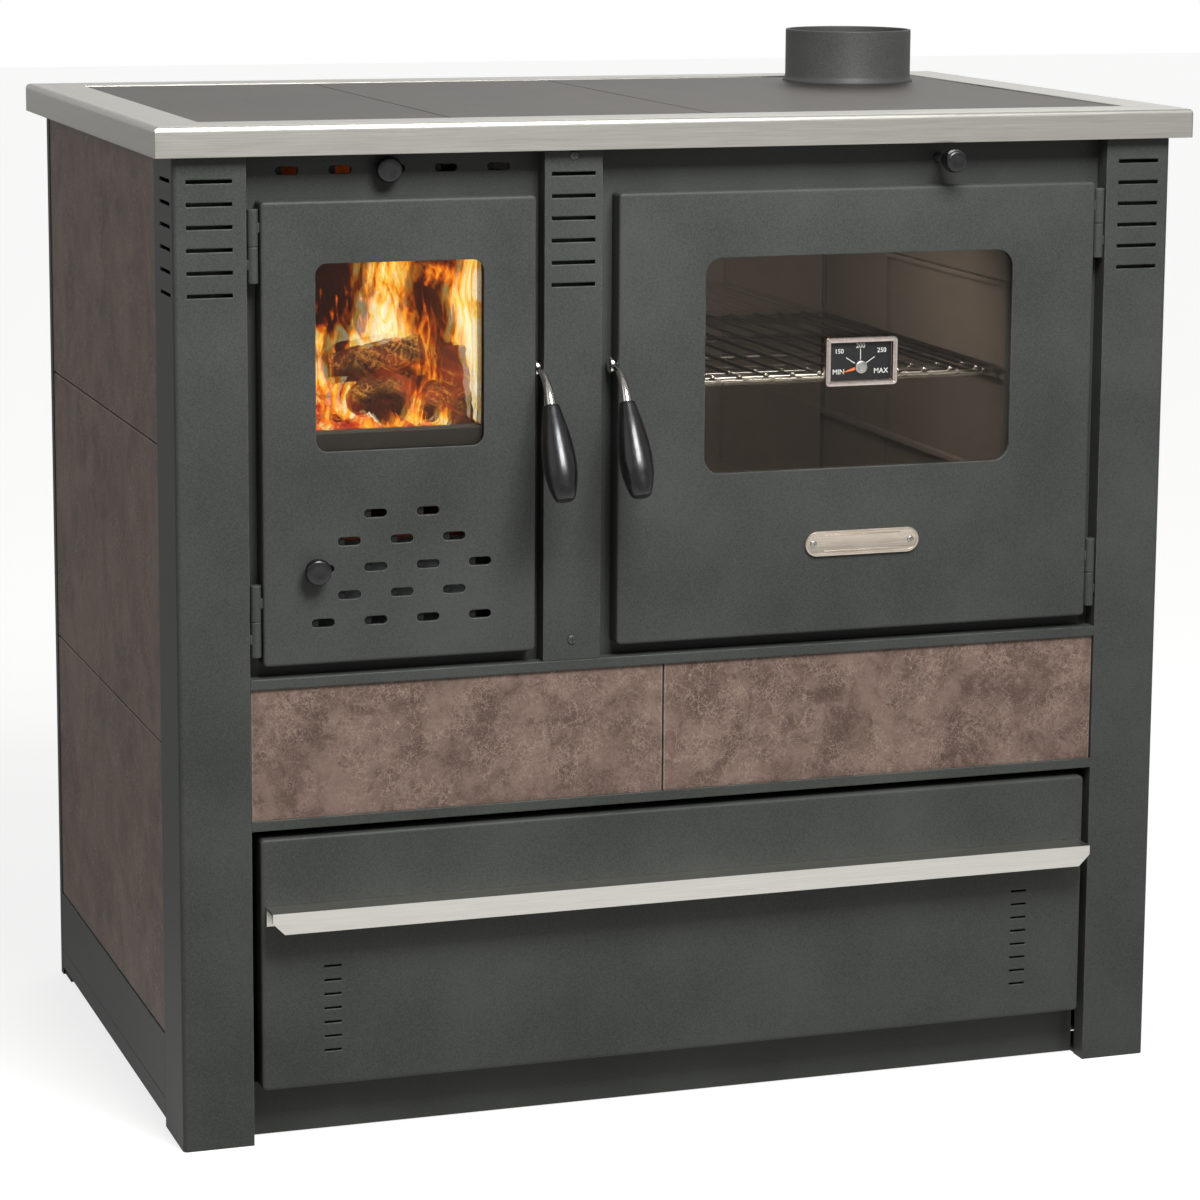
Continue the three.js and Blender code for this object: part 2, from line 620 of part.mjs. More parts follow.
function buildBackAndBase(parent) {
  const floorEdge = halfW - BEND_R;
  const backY = BODY_D - SHEET - FIT_GAP;
  const sheetEdge = halfW - REAR_BACK + BEND_R; // laps the rear posts' legs
  const lipEnd = halfW - REAR_BACK - FIT_GAP;
  const topZ = bodyTopZ - SKIRT_H / 2; // behind the worktop's skirt
  const panel = joined([
    box([-sheetEdge, backY - PANEL_T, PAN_Z + SHEET + FIT_GAP], [sheetEdge, backY, topZ]),
    box([-sheetEdge, backY - BACK_FLANGE, topZ - PANEL_T], [sheetEdge, backY, topZ]),
  ]);
  piece('back_panel', panel, darkSteel, parent);

  // The pan's floor, its plinth across the front and a stiffening lip at the back.
  const pan = joined([
    box([-floorEdge, PLINTH_BACK, PAN_Z], [floorEdge, backY - SHEET / 2, PAN_Z + SHEET]),
    box([-postInner + FIT_GAP, PLINTH_BACK, PLINTH_Z], [postInner - FIT_GAP, PLINTH_BACK + SHEET, DRAWER_Z]),
    box([-lipEnd, backY - SHEET, PLINTH_Z], [lipEnd, backY, PAN_Z + SHEET]),
  ]);
  piece('base_pan', pan, charcoalPaint, parent);
}

// ---- Front plate, tile band ----

function doorOpenings() {
  const lowZ = CASING_Z + CASING_T + FIT_GAP;
  const fire = rect(fireDoorX + FIREBOX_INSET + CASING_T, lowZ + CASING_T,
    fireDoorX + FIRE_DOOR_W - FIREBOX_INSET - CASING_T, casingTopZ - BRICK_DROP - ARRIS);
  const oven = rect(ovenDoorX + OVEN_LEFT, OVEN_Z, ovenDoorX + ovenDoorW - OVEN_RIGHT, ovenTopZ);
  return [fire, oven];
}

const topSlotZ = skirtZ - TOP_SLOT_DROP;
const topSlotMiddle = fireDoorX + FIRE_DOOR_W / 2;
const topSlideZ = {
  low: topSlotZ - SLOT_H / 2 - SLIDE_MARGIN / 2,
  high: topSlotZ + SLOT_H / 2 + SLIDE_MARGIN / 2,
};

function topSlotX(index) {
  return topSlotMiddle + (index - (TOP_SLOT_COUNT - 1) / 2) * 2 * SLOT_PITCH;
}

function buildFront(parent) {
  const inside = halfW - SHEET - FIT_GAP;
  const front = RECESS;
  const back = RECESS + PLATE_STEEL;
  const plate = pushed(rect(-inside, TILE_BAND_Z, inside, bodyTopZ), 'Y', front, back);
  const slots = Array.from({ length: TOP_SLOT_COUNT }, (_, i) => pushed(
    roundSlot(topSlotX(i), topSlotZ, SLOT_L, SLOT_H), 'Y', front - OVERRUN, back + OVERRUN, SLOT_ARC));
  const openings = doorOpenings().map((shape) => pushed(shape, 'Y', front - OVERRUN, back + OVERRUN));
  const rodHole = bar(ROD_R + FIT_GAP + PIN_PLAY / 2, [damperX, front - OVERRUN, damperZ],
    PLATE_STEEL + 2 * OVERRUN, 'Y', ROUND_STEPS);
  // Two rails behind the plate guide the secondary air slide.
  const railLeft = topSlotX(0) - SLOT_L;
  const railRight = topSlotX(TOP_SLOT_COUNT - 1) + SLOT_L + SLIDE_MARGIN;
  const rails = [topSlideZ.low - FIT_GAP - RAIL_T, topSlideZ.high + FIT_GAP].map((z) => box(
    [railLeft, back - OVERRUN, z], [railRight, back + SLIDE_T + FIT_GAP, z + RAIL_T]));
  const body = cut(joined([plate, ...rails]), [...slots, ...openings, rodHole]);
  piece('front_frame', body, charcoalPaint, parent);

  // A channel with lips holds the two front tiles.
  const bandBack = SHEET + FIT_GAP + TILE_T + FIT_GAP;
  const top = TILE_BAND_Z + TILE_BAND_H;
  const channel = outline([
    [0, TILE_BAND_Z], [bandBack + SHEET, TILE_BAND_Z], [bandBack + SHEET, top], [0, top],
    [0, top - TILE_LIP], [SHEET, top - TILE_LIP], [SHEET, top - SHEET], [bandBack, top - SHEET],
    [bandBack, TILE_BAND_Z + SHEET], [SHEET, TILE_BAND_Z + SHEET], [SHEET, TILE_BAND_Z + TILE_LIP],
    [0, TILE_BAND_Z + TILE_LIP],
  ]);
  const bandEnd = postInner - FIT_GAP;
  piece('front_tile_frame', pushed(channel, 'X', -bandEnd, bandEnd), charcoalPaint, parent);

  const split = -postInner + TILE_SPLIT;
  const tileEnd = bandEnd - FIT_GAP;
  const spans = { left: [-tileEnd, split - TILE_JOINT / 2], right: [split + TILE_JOINT / 2, tileEnd] };
  for (const [side, [from, to]] of Object.entries(spans)) {
    const low = TILE_BAND_Z + SHEET + FIT_GAP;
    const shape = rect(from + ARRIS, low + ARRIS, to - ARRIS, top - SHEET - FIT_GAP - ARRIS);
    piece(`front_tile_${side}`, eased(shape, 'Y', SHEET + FIT_GAP, SHEET + FIT_GAP + TILE_T, ARRIS, 1),
      stoneTile, parent);
  }
}

// ---- Hinge halves on the posts ----

function hingeHeights() {
  return { upper: doorTopZ - HINGE_FROM_TOP, lower: DOOR_Z + HINGE_FROM_BOTTOM };
}

// The lower half of a lift-off hinge: a barrel welded to the post's edge, with the pin standing out of it.
function buildPostHinges(parent) {
  for (const [door, axisX, hand] of [['fire', fireHingeX, 1], ['oven', ovenHingeX, -1]]) {
    for (const [level, middleZ] of Object.entries(hingeHeights())) {
      const hinge = groupAt(parent, axisX, AXIS_Y, middleZ);
      const weldEnd = FIT_GAP - HINGE_GAP / 2;
      const tabZ = -BARREL_L / 2;
      const body = joined([
        bar(BARREL_R, [0, 0, -BARREL_L], BARREL_L - FIT_GAP, 'Z'),
        bar(PIN_R, [0, 0, tabZ], PIN_L - tabZ, 'Z'),
        box([weldEnd, -BARREL_R / 2, tabZ - TAB_H / 2], [0, BARREL_R / 2, tabZ + TAB_H / 2]),
      ]);
      piece(`${door}_hinge_${level}`, body, charcoalPaint, hinge).scale.x = hand;
    }
  }
}

// ---- Doors ----

// A folded tray with rounded edges: its face at y = front and its sides running back, drawn from the low
// corner [x, z] to the high one.
function tray(low, high, front) {
  const shape = roundedRect(
    low[0] + EDGE_R, low[1] + EDGE_R, high[0] - EDGE_R, high[1] - EDGE_R, EDGE_R / 2);
  const back = front + doorT;
  const body = eased(shape, 'Y', front, back + 2 * EDGE_R, EDGE_R, 3, 3);
  const keepBack = box([low[0] - OVERRUN, back, low[1] - OVERRUN],
    [high[0] + OVERRUN, back + 4 * EDGE_R, high[1] + OVERRUN]);
  const hollow = box([low[0] + SHEET, front + SHEET, low[1] + SHEET],
    [high[0] - SHEET, back + OVERRUN, high[1] - SHEET]);
  return cut(body, [keepBack, hollow]);
}

// A door's barrels sit on top of the post's, and take its pins from below. axisX is the hinge axis from the
// door's left edge, and each barrel is welded to the door's side by a short tab.
function doorBarrels(axisX) {
  const heights = Object.values(hingeHeights()).map((z) => z - DOOR_Z);
  const weldX = axisX < 0 ? SHEET / 2 : axisX - edgeToAxis - SHEET / 2;
  const tabMiddle = BARREL_L / 2;
  const barrels = heights.flatMap((z) => [
    bar(BARREL_R, [axisX, 0, z], BARREL_L, 'Z'),
    box([Math.min(axisX, weldX), -BARREL_R / 2, z + tabMiddle - TAB_H / 2],
      [Math.max(axisX, weldX), BARREL_R / 2, z + tabMiddle + TAB_H / 2]),
  ]);
  const bores = heights.map((z) => bar(
    PIN_R + PIN_PLAY, [axisX, 0, z - OVERRUN], PIN_L + 2 * OVERRUN, 'Z'));
  return { barrels, bores };
}

function doorFront() {
  return -DOOR_PROUD - AXIS_Y;
}

function windowSpan(width, window) {
  return {
    low: [window.side, window.sill],
    high: [width - window.side, doorH - window.drop],
  };
}

function windowShape({ low, high }, grow, radius) {
  return roundedRect(low[0] - grow, low[1] - grow, high[0] + grow, high[1] + grow, radius);
}

function airSlotPlaces() {
  return SLOT_COLUMNS.flatMap((columns, row) => columns.map((column) => (
    [FIRST_COLUMN + (column - 1) * SLOT_PITCH, LOWEST_ROW + row * ROW_PITCH])));
}

// The knob's own slot is the first one of its row.
const knobSlot = [FIRST_COLUMN, LOWEST_ROW + KNOB_ROW * ROW_PITCH];

// Turned along -Y from the face that it is screwed against.
function buildKnob(parent, name, radius, length) {
  const profile = KNOB_PROFILE.map(([across, along]) => [across * radius, along * length]);
  const knob = piece(name, turned(profile, KNOB_STEPS), blackGloss, parent);
  knob.rotation.x = Math.PI / 2;
  return knob;
}

function buildFireDoor(parent) {
  const door = groupAt(parent, fireHingeX, AXIS_Y, DOOR_Z);
  const front = doorFront();
  const face = groupAt(door, edgeToAxis, 0, 0); // x = 0 is the door's left edge
  const opening = windowSpan(FIRE_DOOR_W, FIRE_WINDOW);
  const inner = front + SHEET;
  const { barrels, bores } = doorBarrels(-edgeToAxis);
  const slots = [...airSlotPlaces(), knobSlot].map(([x, z]) => pushed(
    roundSlot(x, z, SLOT_L, SLOT_H), 'Y', front - OVERRUN, inner + OVERRUN, SLOT_ARC));
  const pivotHole = bar(PIVOT_R + FIT_GAP + PIN_PLAY / 2,
    [FIRE_DOOR_W - SHEET - OVERRUN, HANDLE_Y - AXIS_Y, doorH - HANDLE_DROP], SHEET + 2 * OVERRUN, 'X');
  // Rails above and below the air slide.
  const slideLow = LOWEST_ROW - SLOT_H / 2 - SLIDE_MARGIN;
  const slideHigh = LOWEST_ROW + (SLOT_COLUMNS.length - 1) * ROW_PITCH + SLOT_H / 2 + SLIDE_MARGIN;
  const rails = [slideLow - FIT_GAP - RAIL_T, slideHigh + FIT_GAP].map((z) => box(
    [SHEET + SLIDE_MARGIN, inner - SHEET / 2, z],
    [FIRE_DOOR_W - SHEET - SLIDE_MARGIN, inner + FIT_GAP + SLIDE_T + RAIL_LAP, z + RAIL_T]));
  const shell = cut(
    joined([tray([0, 0], [FIRE_DOOR_W, doorH], front), ...rails, ...barrels]),
    [
      ...bores,
      ...slots,
      pushed(windowShape(opening, 0, FIRE_WINDOW.radius), 'Y', front - OVERRUN, inner + OVERRUN, 6),
      pivotHole,
    ]);
  piece('fire_door_shell', shell, charcoalPaint, face);

  const glassY = inner + FIT_GAP;
  piece('fire_door_glass', pushed(windowShape(opening, GLASS_LAP, FIRE_WINDOW.radius), 'Y', glassY,
    glassY + GLASS_T), clearGlass, face);

  // The frame behind the glass: a flat band, with a sloping ledge along its lower edge.
  const frameY = glassY + GLASS_T + FIT_GAP;
  const band = pushed(windowShape(opening, KEEP_W, FIRE_WINDOW.radius), 'Y', frameY, frameY + SHEET);
  const clear = pushed(
    rect(opening.low[0], opening.low[1] + LEDGE_RISE, opening.high[0], opening.high[1]), 'Y',
    frameY - OVERRUN, frameY + SHEET + OVERRUN);
  const ledgeY = frameY + LEDGE_DEPTH;
  const ledge = pushed(
    outline([
      [frameY, opening.low[1]], [frameY + SHEET, opening.low[1]],
      [ledgeY, opening.low[1] + LEDGE_RISE], [ledgeY, opening.low[1] + LEDGE_RISE + SHEET],
      [ledgeY - SHEET, opening.low[1] + LEDGE_RISE + SHEET], [frameY, opening.low[1] + SHEET],
    ]),
    'X', opening.low[0] - SHEET, opening.high[0] + SHEET);
  piece('fire_door_glass_frame', cut(band, [clear]).add(ledge), darkSteel, face);

  // The air slide: its slots stand behind the right-hand part of the door's slots, and close as it slides.
  const lastColumn = Math.max(...airSlotPlaces().map(([x]) => x));
  const slideLeft = knobSlot[0] - SLOT_L / 2 - SLIDE_MARGIN;
  const slideRight = lastColumn + SLOT_L / 2 + SLIDE_MARGIN / 2;
  const slideBack = inner + FIT_GAP + SLIDE_T;
  const windows = airSlotPlaces().map(([x, z]) => pushed(
    squareSlot(x + (SLOT_L - slotTravel) / 2, z, slotTravel, SLOT_H), 'Y', inner, slideBack + OVERRUN));
  const stemX = knobSlot[0] - slotTravel / 2;
  const knobSeat = front - FIT_GAP;
  const plate = pushed(
    rect(slideLeft, slideLow, slideRight, slideHigh), 'Y', inner + FIT_GAP, slideBack);
  const stem = bar(STEM_R, [stemX, knobSeat, knobSlot[1]], slideBack - knobSeat, 'Y');
  piece('primary_air_slider', cut(plate, windows).add(stem), galvanised, face);
  buildKnob(groupAt(face, stemX, knobSeat - FIT_GAP, knobSlot[1]), 'primary_air_knob', KNOB_R, KNOB_L);

  buildHandle(groupAt(face, FIRE_DOOR_W, HANDLE_Y - AXIS_Y, doorH - HANDLE_DROP), 'fire', 1);
}

function buildOvenDoor(parent) {
  const door = groupAt(parent, ovenHingeX, AXIS_Y, DOOR_Z);
  const front = doorFront();
  const face = groupAt(door, -edgeToAxis - ovenDoorW, 0, 0); // x = 0 is the door's left edge
  const opening = windowSpan(ovenDoorW, OVEN_WINDOW);
  const inner = front + SHEET;
  const { barrels, bores } = doorBarrels(ovenDoorW + edgeToAxis);
  const pivotHole = bar(PIVOT_R + FIT_GAP + PIN_PLAY / 2,
    [-OVERRUN, HANDLE_Y - AXIS_Y, doorH - HANDLE_DROP], SHEET + 2 * OVERRUN, 'X');
  const shell = cut(
    joined([tray([0, 0], [ovenDoorW, doorH], front), ...barrels]),
    [
      ...bores,
      pushed(windowShape(opening, 0, OVEN_WINDOW.radius), 'Y', front - OVERRUN, inner + OVERRUN, 6),
      pivotHole,
    ]);
  piece('oven_door_shell', shell, charcoalPaint, face);

  const middle = [ovenDoorW / 2, (opening.low[1] + opening.high[1]) / 2];
  const glassY = inner + FIT_GAP;
  const glass = pushed(windowShape(opening, GLASS_LAP, OVEN_WINDOW.radius), 'Y', glassY, glassY + GLASS_T);
  const glassHole = bar(DIAL_STEM_R + FIT_GAP, [middle[0], glassY - OVERRUN, middle[1]],
    GLASS_T + 2 * OVERRUN, 'Y');
  piece('oven_door_glass', glass.subtract(glassHole), clearGlass, face);

  // The liner: a plate across the tray's open back, with a frame forward to the glass round the window.
  const linerBack = front + doorT - SHEET;
  const margin = SHEET + FIT_GAP;
  const linerFront = glassY + GLASS_T + FIT_GAP;
  const throat = windowShape(opening, SHEET, OVEN_WINDOW.radius);
  const liner = cut(
    joined([
      pushed(rect(margin, margin, ovenDoorW - margin, doorH - margin), 'Y', linerBack - SHEET, linerBack),
      pushed(windowShape(opening, 2 * SHEET, OVEN_WINDOW.radius), 'Y', linerFront, linerBack),
    ]),
    [pushed(throat, 'Y', linerFront - OVERRUN, linerBack + OVERRUN)]);
  const camRoom = box([0, linerBack - SHEET - OVERRUN, doorH - HANDLE_DROP - 2 * CAM_HALF],
    [margin + 2 * CAM_HALF, linerBack + OVERRUN, doorH - HANDLE_DROP + 2 * CAM_HALF]);
  piece('oven_door_liner', liner.subtract(camRoom), darkSteel, face);

  buildThermometer(groupAt(face, middle[0], glassY - FIT_GAP, middle[1]));

  // A bare plate with round ends and a raised bar along its top and bottom.
  const plate = groupAt(face, middle[0] + BADGE_SHIFT, front - FIT_GAP, BADGE_Z);
  const ease = ARRIS / 2;
  const badgeX = BADGE_W / 2 - ease;
  const badgeZ = BADGE_H / 2 - ease;
  const halfBar = BADGE_W / 2 - BADGE_H / 2;
  const barFar = badgeZ - ease;
  const barNear = barFar - BADGE_BAR;
  const badge = joined([
    eased(roundedRect(-badgeX, -badgeZ, badgeX, badgeZ, badgeZ - ease), 'Y', -BADGE_T, 0, ease, 1, 5),
    ...[[barNear, barFar], [-barFar, -barNear]].map(([low, high]) => box(
      [-halfBar, -BADGE_T - ARRIS, low], [halfBar, -BADGE_T / 2, high])),
  ]);
  piece('nameplate', badge, paleNickel, plate);

  buildHandle(groupAt(face, 0, HANDLE_Y - AXIS_Y, doorH - HANDLE_DROP), 'oven', -1);
}

// The thermometer's case: a raised rim round a sunk dial, with a stem through the glass and its nut behind.
function buildThermometer(parent) {
  const rim = roundedRect(
    -DIAL_W / 2 + ARRIS, -DIAL_H / 2 + ARRIS, DIAL_W / 2 - ARRIS, DIAL_H / 2 - ARRIS, DIAL_CORNER_R);
  const sunk = rect(-DIAL_W / 2 + DIAL_RIM, -DIAL_H / 2 + DIAL_RIM, DIAL_W / 2 - DIAL_RIM,
    DIAL_H / 2 - DIAL_RIM);
  const body = cut(eased(rim, 'Y', -DIAL_DEPTH, 0, ARRIS, 2, 3),
    [pushed(sunk, 'Y', -DIAL_DEPTH - OVERRUN, -DIAL_FLOOR)]);
  const nutY = 2 * FIT_GAP + GLASS_T;
  const stem = joined([
    bar(DIAL_STEM_R, [0, -DIAL_FLOOR / 2, 0], DIAL_FLOOR / 2 + nutY + DIAL_STEM_L, 'Y'),
    bar(DIAL_NUT_R, [0, nutY, 0], DIAL_NUT_T, 'Y', 6),
    bar(NEEDLE_SPINDLE_R, [0, -DIAL_FLOOR - NEEDLE_SPINDLE_L, -NEEDLE_DROP],
      NEEDLE_SPINDLE_L + DIAL_FLOOR / 2, 'Y'),
  ]);
  piece('thermometer_case', body.add(stem), polishedChrome, parent);

  // The needle points left, to the low end of the dial.
  const needle = groupAt(parent, 0, -DIAL_FLOOR - FIT_GAP, -NEEDLE_DROP);
  const dip = THREE.MathUtils.degToRad(NEEDLE_DIP);
  const tip = [-NEEDLE_L * Math.cos(dip), -NEEDLE_L * Math.sin(dip)];
  const pointer = outline([[0, NEEDLE_HALF_W], tip, [0, -NEEDLE_HALF_W]]);
  const hub = cut(
    joined([
      bar(NEEDLE_HUB_R, [0, -NEEDLE_HUB_T, 0], NEEDLE_HUB_T, 'Y', KNOB_STEPS),
      pushed(pointer, 'Y', -NEEDLE_T, 0),
    ]),
    [bar(NEEDLE_SPINDLE_R + FIT_GAP, [0, -NEEDLE_SPINDLE_L - FIT_GAP, 0], NEEDLE_SPINDLE_L + OVERRUN, 'Y')]);
  piece('thermometer_needle', hub, needleRed, needle);
}

// ---- Door handles ----

// Bends a straight turned bar, one unit tall, onto a curve.
function bentAlong(geometry, curve) {
  const position = geometry.getAttribute('position');
  const place = new THREE.Vector3();
  for (let i = 0; i < position.count; i += 1) {
    place.fromBufferAttribute(position, i);
    const along = THREE.MathUtils.clamp(place.y, 0, 1);
    const centre = curve.getPoint(along);
    const tangent = curve.getTangent(along);
    const across = new THREE.Vector3(0, -tangent.z, tangent.y);
    const moved = centre.addScaledVector(across, place.z);
    position.setXYZ(i, place.x, moved.y, moved.z);
  }
  return geometry;
}

// The pivot lies on the door's folded side. hand is 1 where the hub lies on the side's +X face.
function buildHandle(parent, door, hand) {
  const tilt = THREE.MathUtils.degToRad(GRIP_TILT);
  const gripTop = new THREE.Vector3(0, -SHANK_REACH, -SHANK_FALL);
  const down = new THREE.Vector3(0, -Math.sin(tilt), -Math.cos(tilt));
  const curve = new THREE.CubicBezierCurve3(
    new THREE.Vector3(0, 0, 0),
    new THREE.Vector3(0, -SHANK_REACH * SHANK_BOW, 0),
    gripTop.clone().addScaledVector(down, -SHANK_FALL * SHANK_BOW),
    gripTop);
  const profile = [new THREE.Vector2(0, 0)];
  for (let i = 0; i <= SHANK_RINGS; i += 1) {
    const along = i / SHANK_RINGS;
    profile.push(new THREE.Vector2(THREE.MathUtils.lerp(...SHANK_R, along), along));
  }
  profile.push(new THREE.Vector2(0, 1));
  const hubX = HUB_GAP;
  const bent = bentAlong(new THREE.LatheGeometry(profile, ROUND_STEPS), curve);
  const shank = solid(bent.translate(hubX + HUB_T / 2, 0, 0));
  const camX = -SHEET - HUB_GAP - CAM_T;
  // Inside the door the pivot carries a latch cam that points back to the front plate.
  const body = joined([
    shank,
    bar(HUB_R, [hubX, 0, 0], HUB_T, 'X', HUB_STEPS),
    bar(PIVOT_R, [camX, 0, 0], hubX - camX + HUB_T / 2, 'X'),
    box([camX, -CAM_HALF, -CAM_HALF], [camX + CAM_T, RECESS - HANDLE_Y - CAM_CLEAR, PIVOT_R]),
  ]);
  const lever = piece(`${door}_handle_lever`, body, polishedChrome, parent);
  lever.scale.x = hand;

  const gripBody = turned([[0, 0], ...GRIP_PROFILE, [GRIP_END_R, GRIP_L], [0, GRIP_L]], GRIP_STEPS);
  const grip = piece(`${door}_handle_grip`, gripBody, blackGloss, parent);
  grip.position.copy(gripTop).addScaledVector(down, FIT_GAP);
  grip.position.x = hand * (hubX + HUB_T / 2);
  grip.rotation.x = Math.PI - tilt;
}

// ---- Air slide above the fire door, damper ----

function buildSecondaryAir(parent) {
  const back = RECESS + PLATE_STEEL;
  const knobX = topSlotX((TOP_SLOT_COUNT - 1) / 2) - slotTravel / 2;
  const vents = [0, 1, 3, 4].map((i) => pushed(
    squareSlot(topSlotX(i) + (SLOT_L - slotTravel) / 2, topSlotZ, slotTravel, SLOT_H), 'Y',
    back, back + SLIDE_T + OVERRUN));
  const knobSeat = RECESS - FIT_GAP;
  const plateLeft = topSlotX(0) - SLOT_L / 2 - SLIDE_END;
  const plateRight = topSlotX(TOP_SLOT_COUNT - 1) + SLOT_L / 2 + SLIDE_END;
  const plate = pushed(rect(plateLeft, topSlideZ.low, plateRight, topSlideZ.high), 'Y',
    back + FIT_GAP, back + FIT_GAP + SLIDE_T);
  const stem = bar(STEM_R, [knobX, knobSeat, topSlotZ], back + FIT_GAP + SLIDE_T - knobSeat, 'Y');
  piece('secondary_air_slider', cut(plate, vents).add(stem), galvanised, parent);
  buildKnob(groupAt(parent, knobX, knobSeat - FIT_GAP, topSlotZ), 'secondary_air_knob', KNOB_R, KNOB_L);
}

// A rod through the front plate carries a flat plate under the flue hole.
function buildDamper(parent) {
  const knobSeat = RECESS - DAMPER_STANDOFF;
  const reach = FLUE_R + DAMPER_LAP;
  const body = joined([
    bar(ROD_R, [damperX, knobSeat, damperZ], flueY - knobSeat, 'Y'),
    box([flueX - reach - DAMPER_EAR, flueY - reach, damperZ - ROD_R],
      [flueX + reach, flueY + reach, damperZ - ROD_R + DAMPER_T]),
  ]);
  piece('damper_rod', body, galvanised, parent);
  const knob = groupAt(parent, damperX, knobSeat - FIT_GAP, damperZ);
  buildKnob(knob, 'damper_knob', DAMPER_KNOB_R, DAMPER_KNOB_L);
}

// ---- Firebox ----

function buildFirebox(parent) {
  const left = fireDoorX + FIREBOX_INSET;
  const right = fireDoorX + FIRE_DOOR_W - FIREBOX_INSET;
  const front = RECESS + PLATE_STEEL + FIT_GAP;
  const back = BODY_D - FIREBOX_BACK;
  const floorZ = CASING_Z + CASING_T;
  const shelfZ = floorZ + GRATE_SEAT;
  const inLeft = left + CASING_T;
  const inRight = right - CASING_T;
  const inBack = back - CASING_T;
  const topZ = casingTopZ;
  const openLeft = inLeft + BRICK_T + SHELF_LAP;
  const openRight = inRight - BRICK_T - SHELF_LAP;

  // An open-fronted box with a shelf that carries the grate and the bricks.
  const casing = cut(
    box([left, front, CASING_Z], [right, back, topZ]),
    [
      box([inLeft, front - OVERRUN, floorZ], [inRight, inBack, shelfZ - CASING_T]),
      box([inLeft, front - OVERRUN, shelfZ], [inRight, inBack, topZ + OVERRUN]),
      box([openLeft, front + SHELF_FRONT, shelfZ - CASING_T - OVERRUN],
        [openRight, inBack - BRICK_T - GRATE_EDGE, shelfZ + OVERRUN]),
    ]);
  piece('firebox_casing', casing, darkSteel, parent);

  const brickZ = shelfZ + FIT_GAP;
  const sideBrick = (from, to) => eased(
    rect(from + ARRIS, front + ARRIS + OVERRUN, to - ARRIS, inBack - FIT_GAP - ARRIS), 'Z',
    brickZ, topZ - BRICK_DROP, ARRIS, 1);
  const bricksLeft = inLeft + FIT_GAP + BRICK_T;
  const bricksRight = inRight - FIT_GAP - BRICK_T;
  piece('firebrick_left', sideBrick(inLeft + FIT_GAP, bricksLeft), fireclay, parent);
  piece('firebrick_right', sideBrick(bricksRight, inRight - FIT_GAP), fireclay, parent);
  const backBrick = eased(
    rect(bricksLeft + FIT_GAP + ARRIS, inBack - FIT_GAP - BRICK_T + ARRIS, bricksRight - FIT_GAP - ARRIS,
      inBack - FIT_GAP - ARRIS), 'Z', brickZ, topZ - BRICK_DROP, ARRIS, 1);
  piece('firebrick_back', backBrick, fireclay, parent);

  // Cast grate: bars between two rows of slots.
  const grateLeft = bricksLeft + FIT_GAP;
  const grateRight = bricksRight - FIT_GAP;
  const grateFront = front + OVERRUN;
  const grateBack = inBack - 2 * FIT_GAP - BRICK_T;
  const slotPitch = (grateRight - grateLeft - 2 * GRATE_EDGE) / GRATE_BARS;
  const halfL = (grateBack - grateFront - 3 * GRATE_EDGE) / 2;
  const slots = [];
  for (let i = 0; i < GRATE_BARS; i += 1) {
    const x = grateLeft + GRATE_EDGE + (i + 0.5) * slotPitch;
    for (const y of [grateFront + GRATE_EDGE + halfL / 2, grateBack - GRATE_EDGE - halfL / 2]) {
      const slot = roundedRect(x - GRATE_SLOT / 2, y - halfL / 2, x + GRATE_SLOT / 2, y + halfL / 2,
        GRATE_SLOT / 2 - ARRIS / 4);
      slots.push(pushed(slot, 'Z', brickZ - OVERRUN, brickZ + GRATE_T + OVERRUN, 1));
    }
  }
  const slab = box([grateLeft, grateFront, brickZ], [grateRight, grateBack, brickZ + GRATE_T]);
  piece('fire_grate', cut(slab, slots), castIron, parent);

  // Ash pan: an open tray with a finger lip turned forward along its front edge.
  const panLeft = inLeft + ASH_PAN_INSET;
  const panRight = inRight - ASH_PAN_INSET;
  const panFront = front + ASH_LIP + ASH_PAN_FRONT;
  const panBack = inBack - ASH_PAN_INSET;
  const panZ = floorZ + FIT_GAP;
  const panTop = panZ + ASH_PAN_H;
  const lipFront = panFront - ASH_LIP;
  const pan = joined([
    cut(box([panLeft, panFront, panZ], [panRight, panBack, panTop]),
      [box([panLeft + PANEL_T, panFront + PANEL_T, panZ + PANEL_T],
        [panRight - PANEL_T, panBack - PANEL_T, panTop + OVERRUN])]),
    box([panLeft, lipFront, panTop - PANEL_T], [panRight, panFront + PANEL_T, panTop]),
    box([panLeft, lipFront, panTop - ASH_LIP_DROP], [panRight, lipFront + PANEL_T, panTop]),
  ]);
  piece('ash_pan', pan, galvanised, parent);
}

// ---- Oven ----

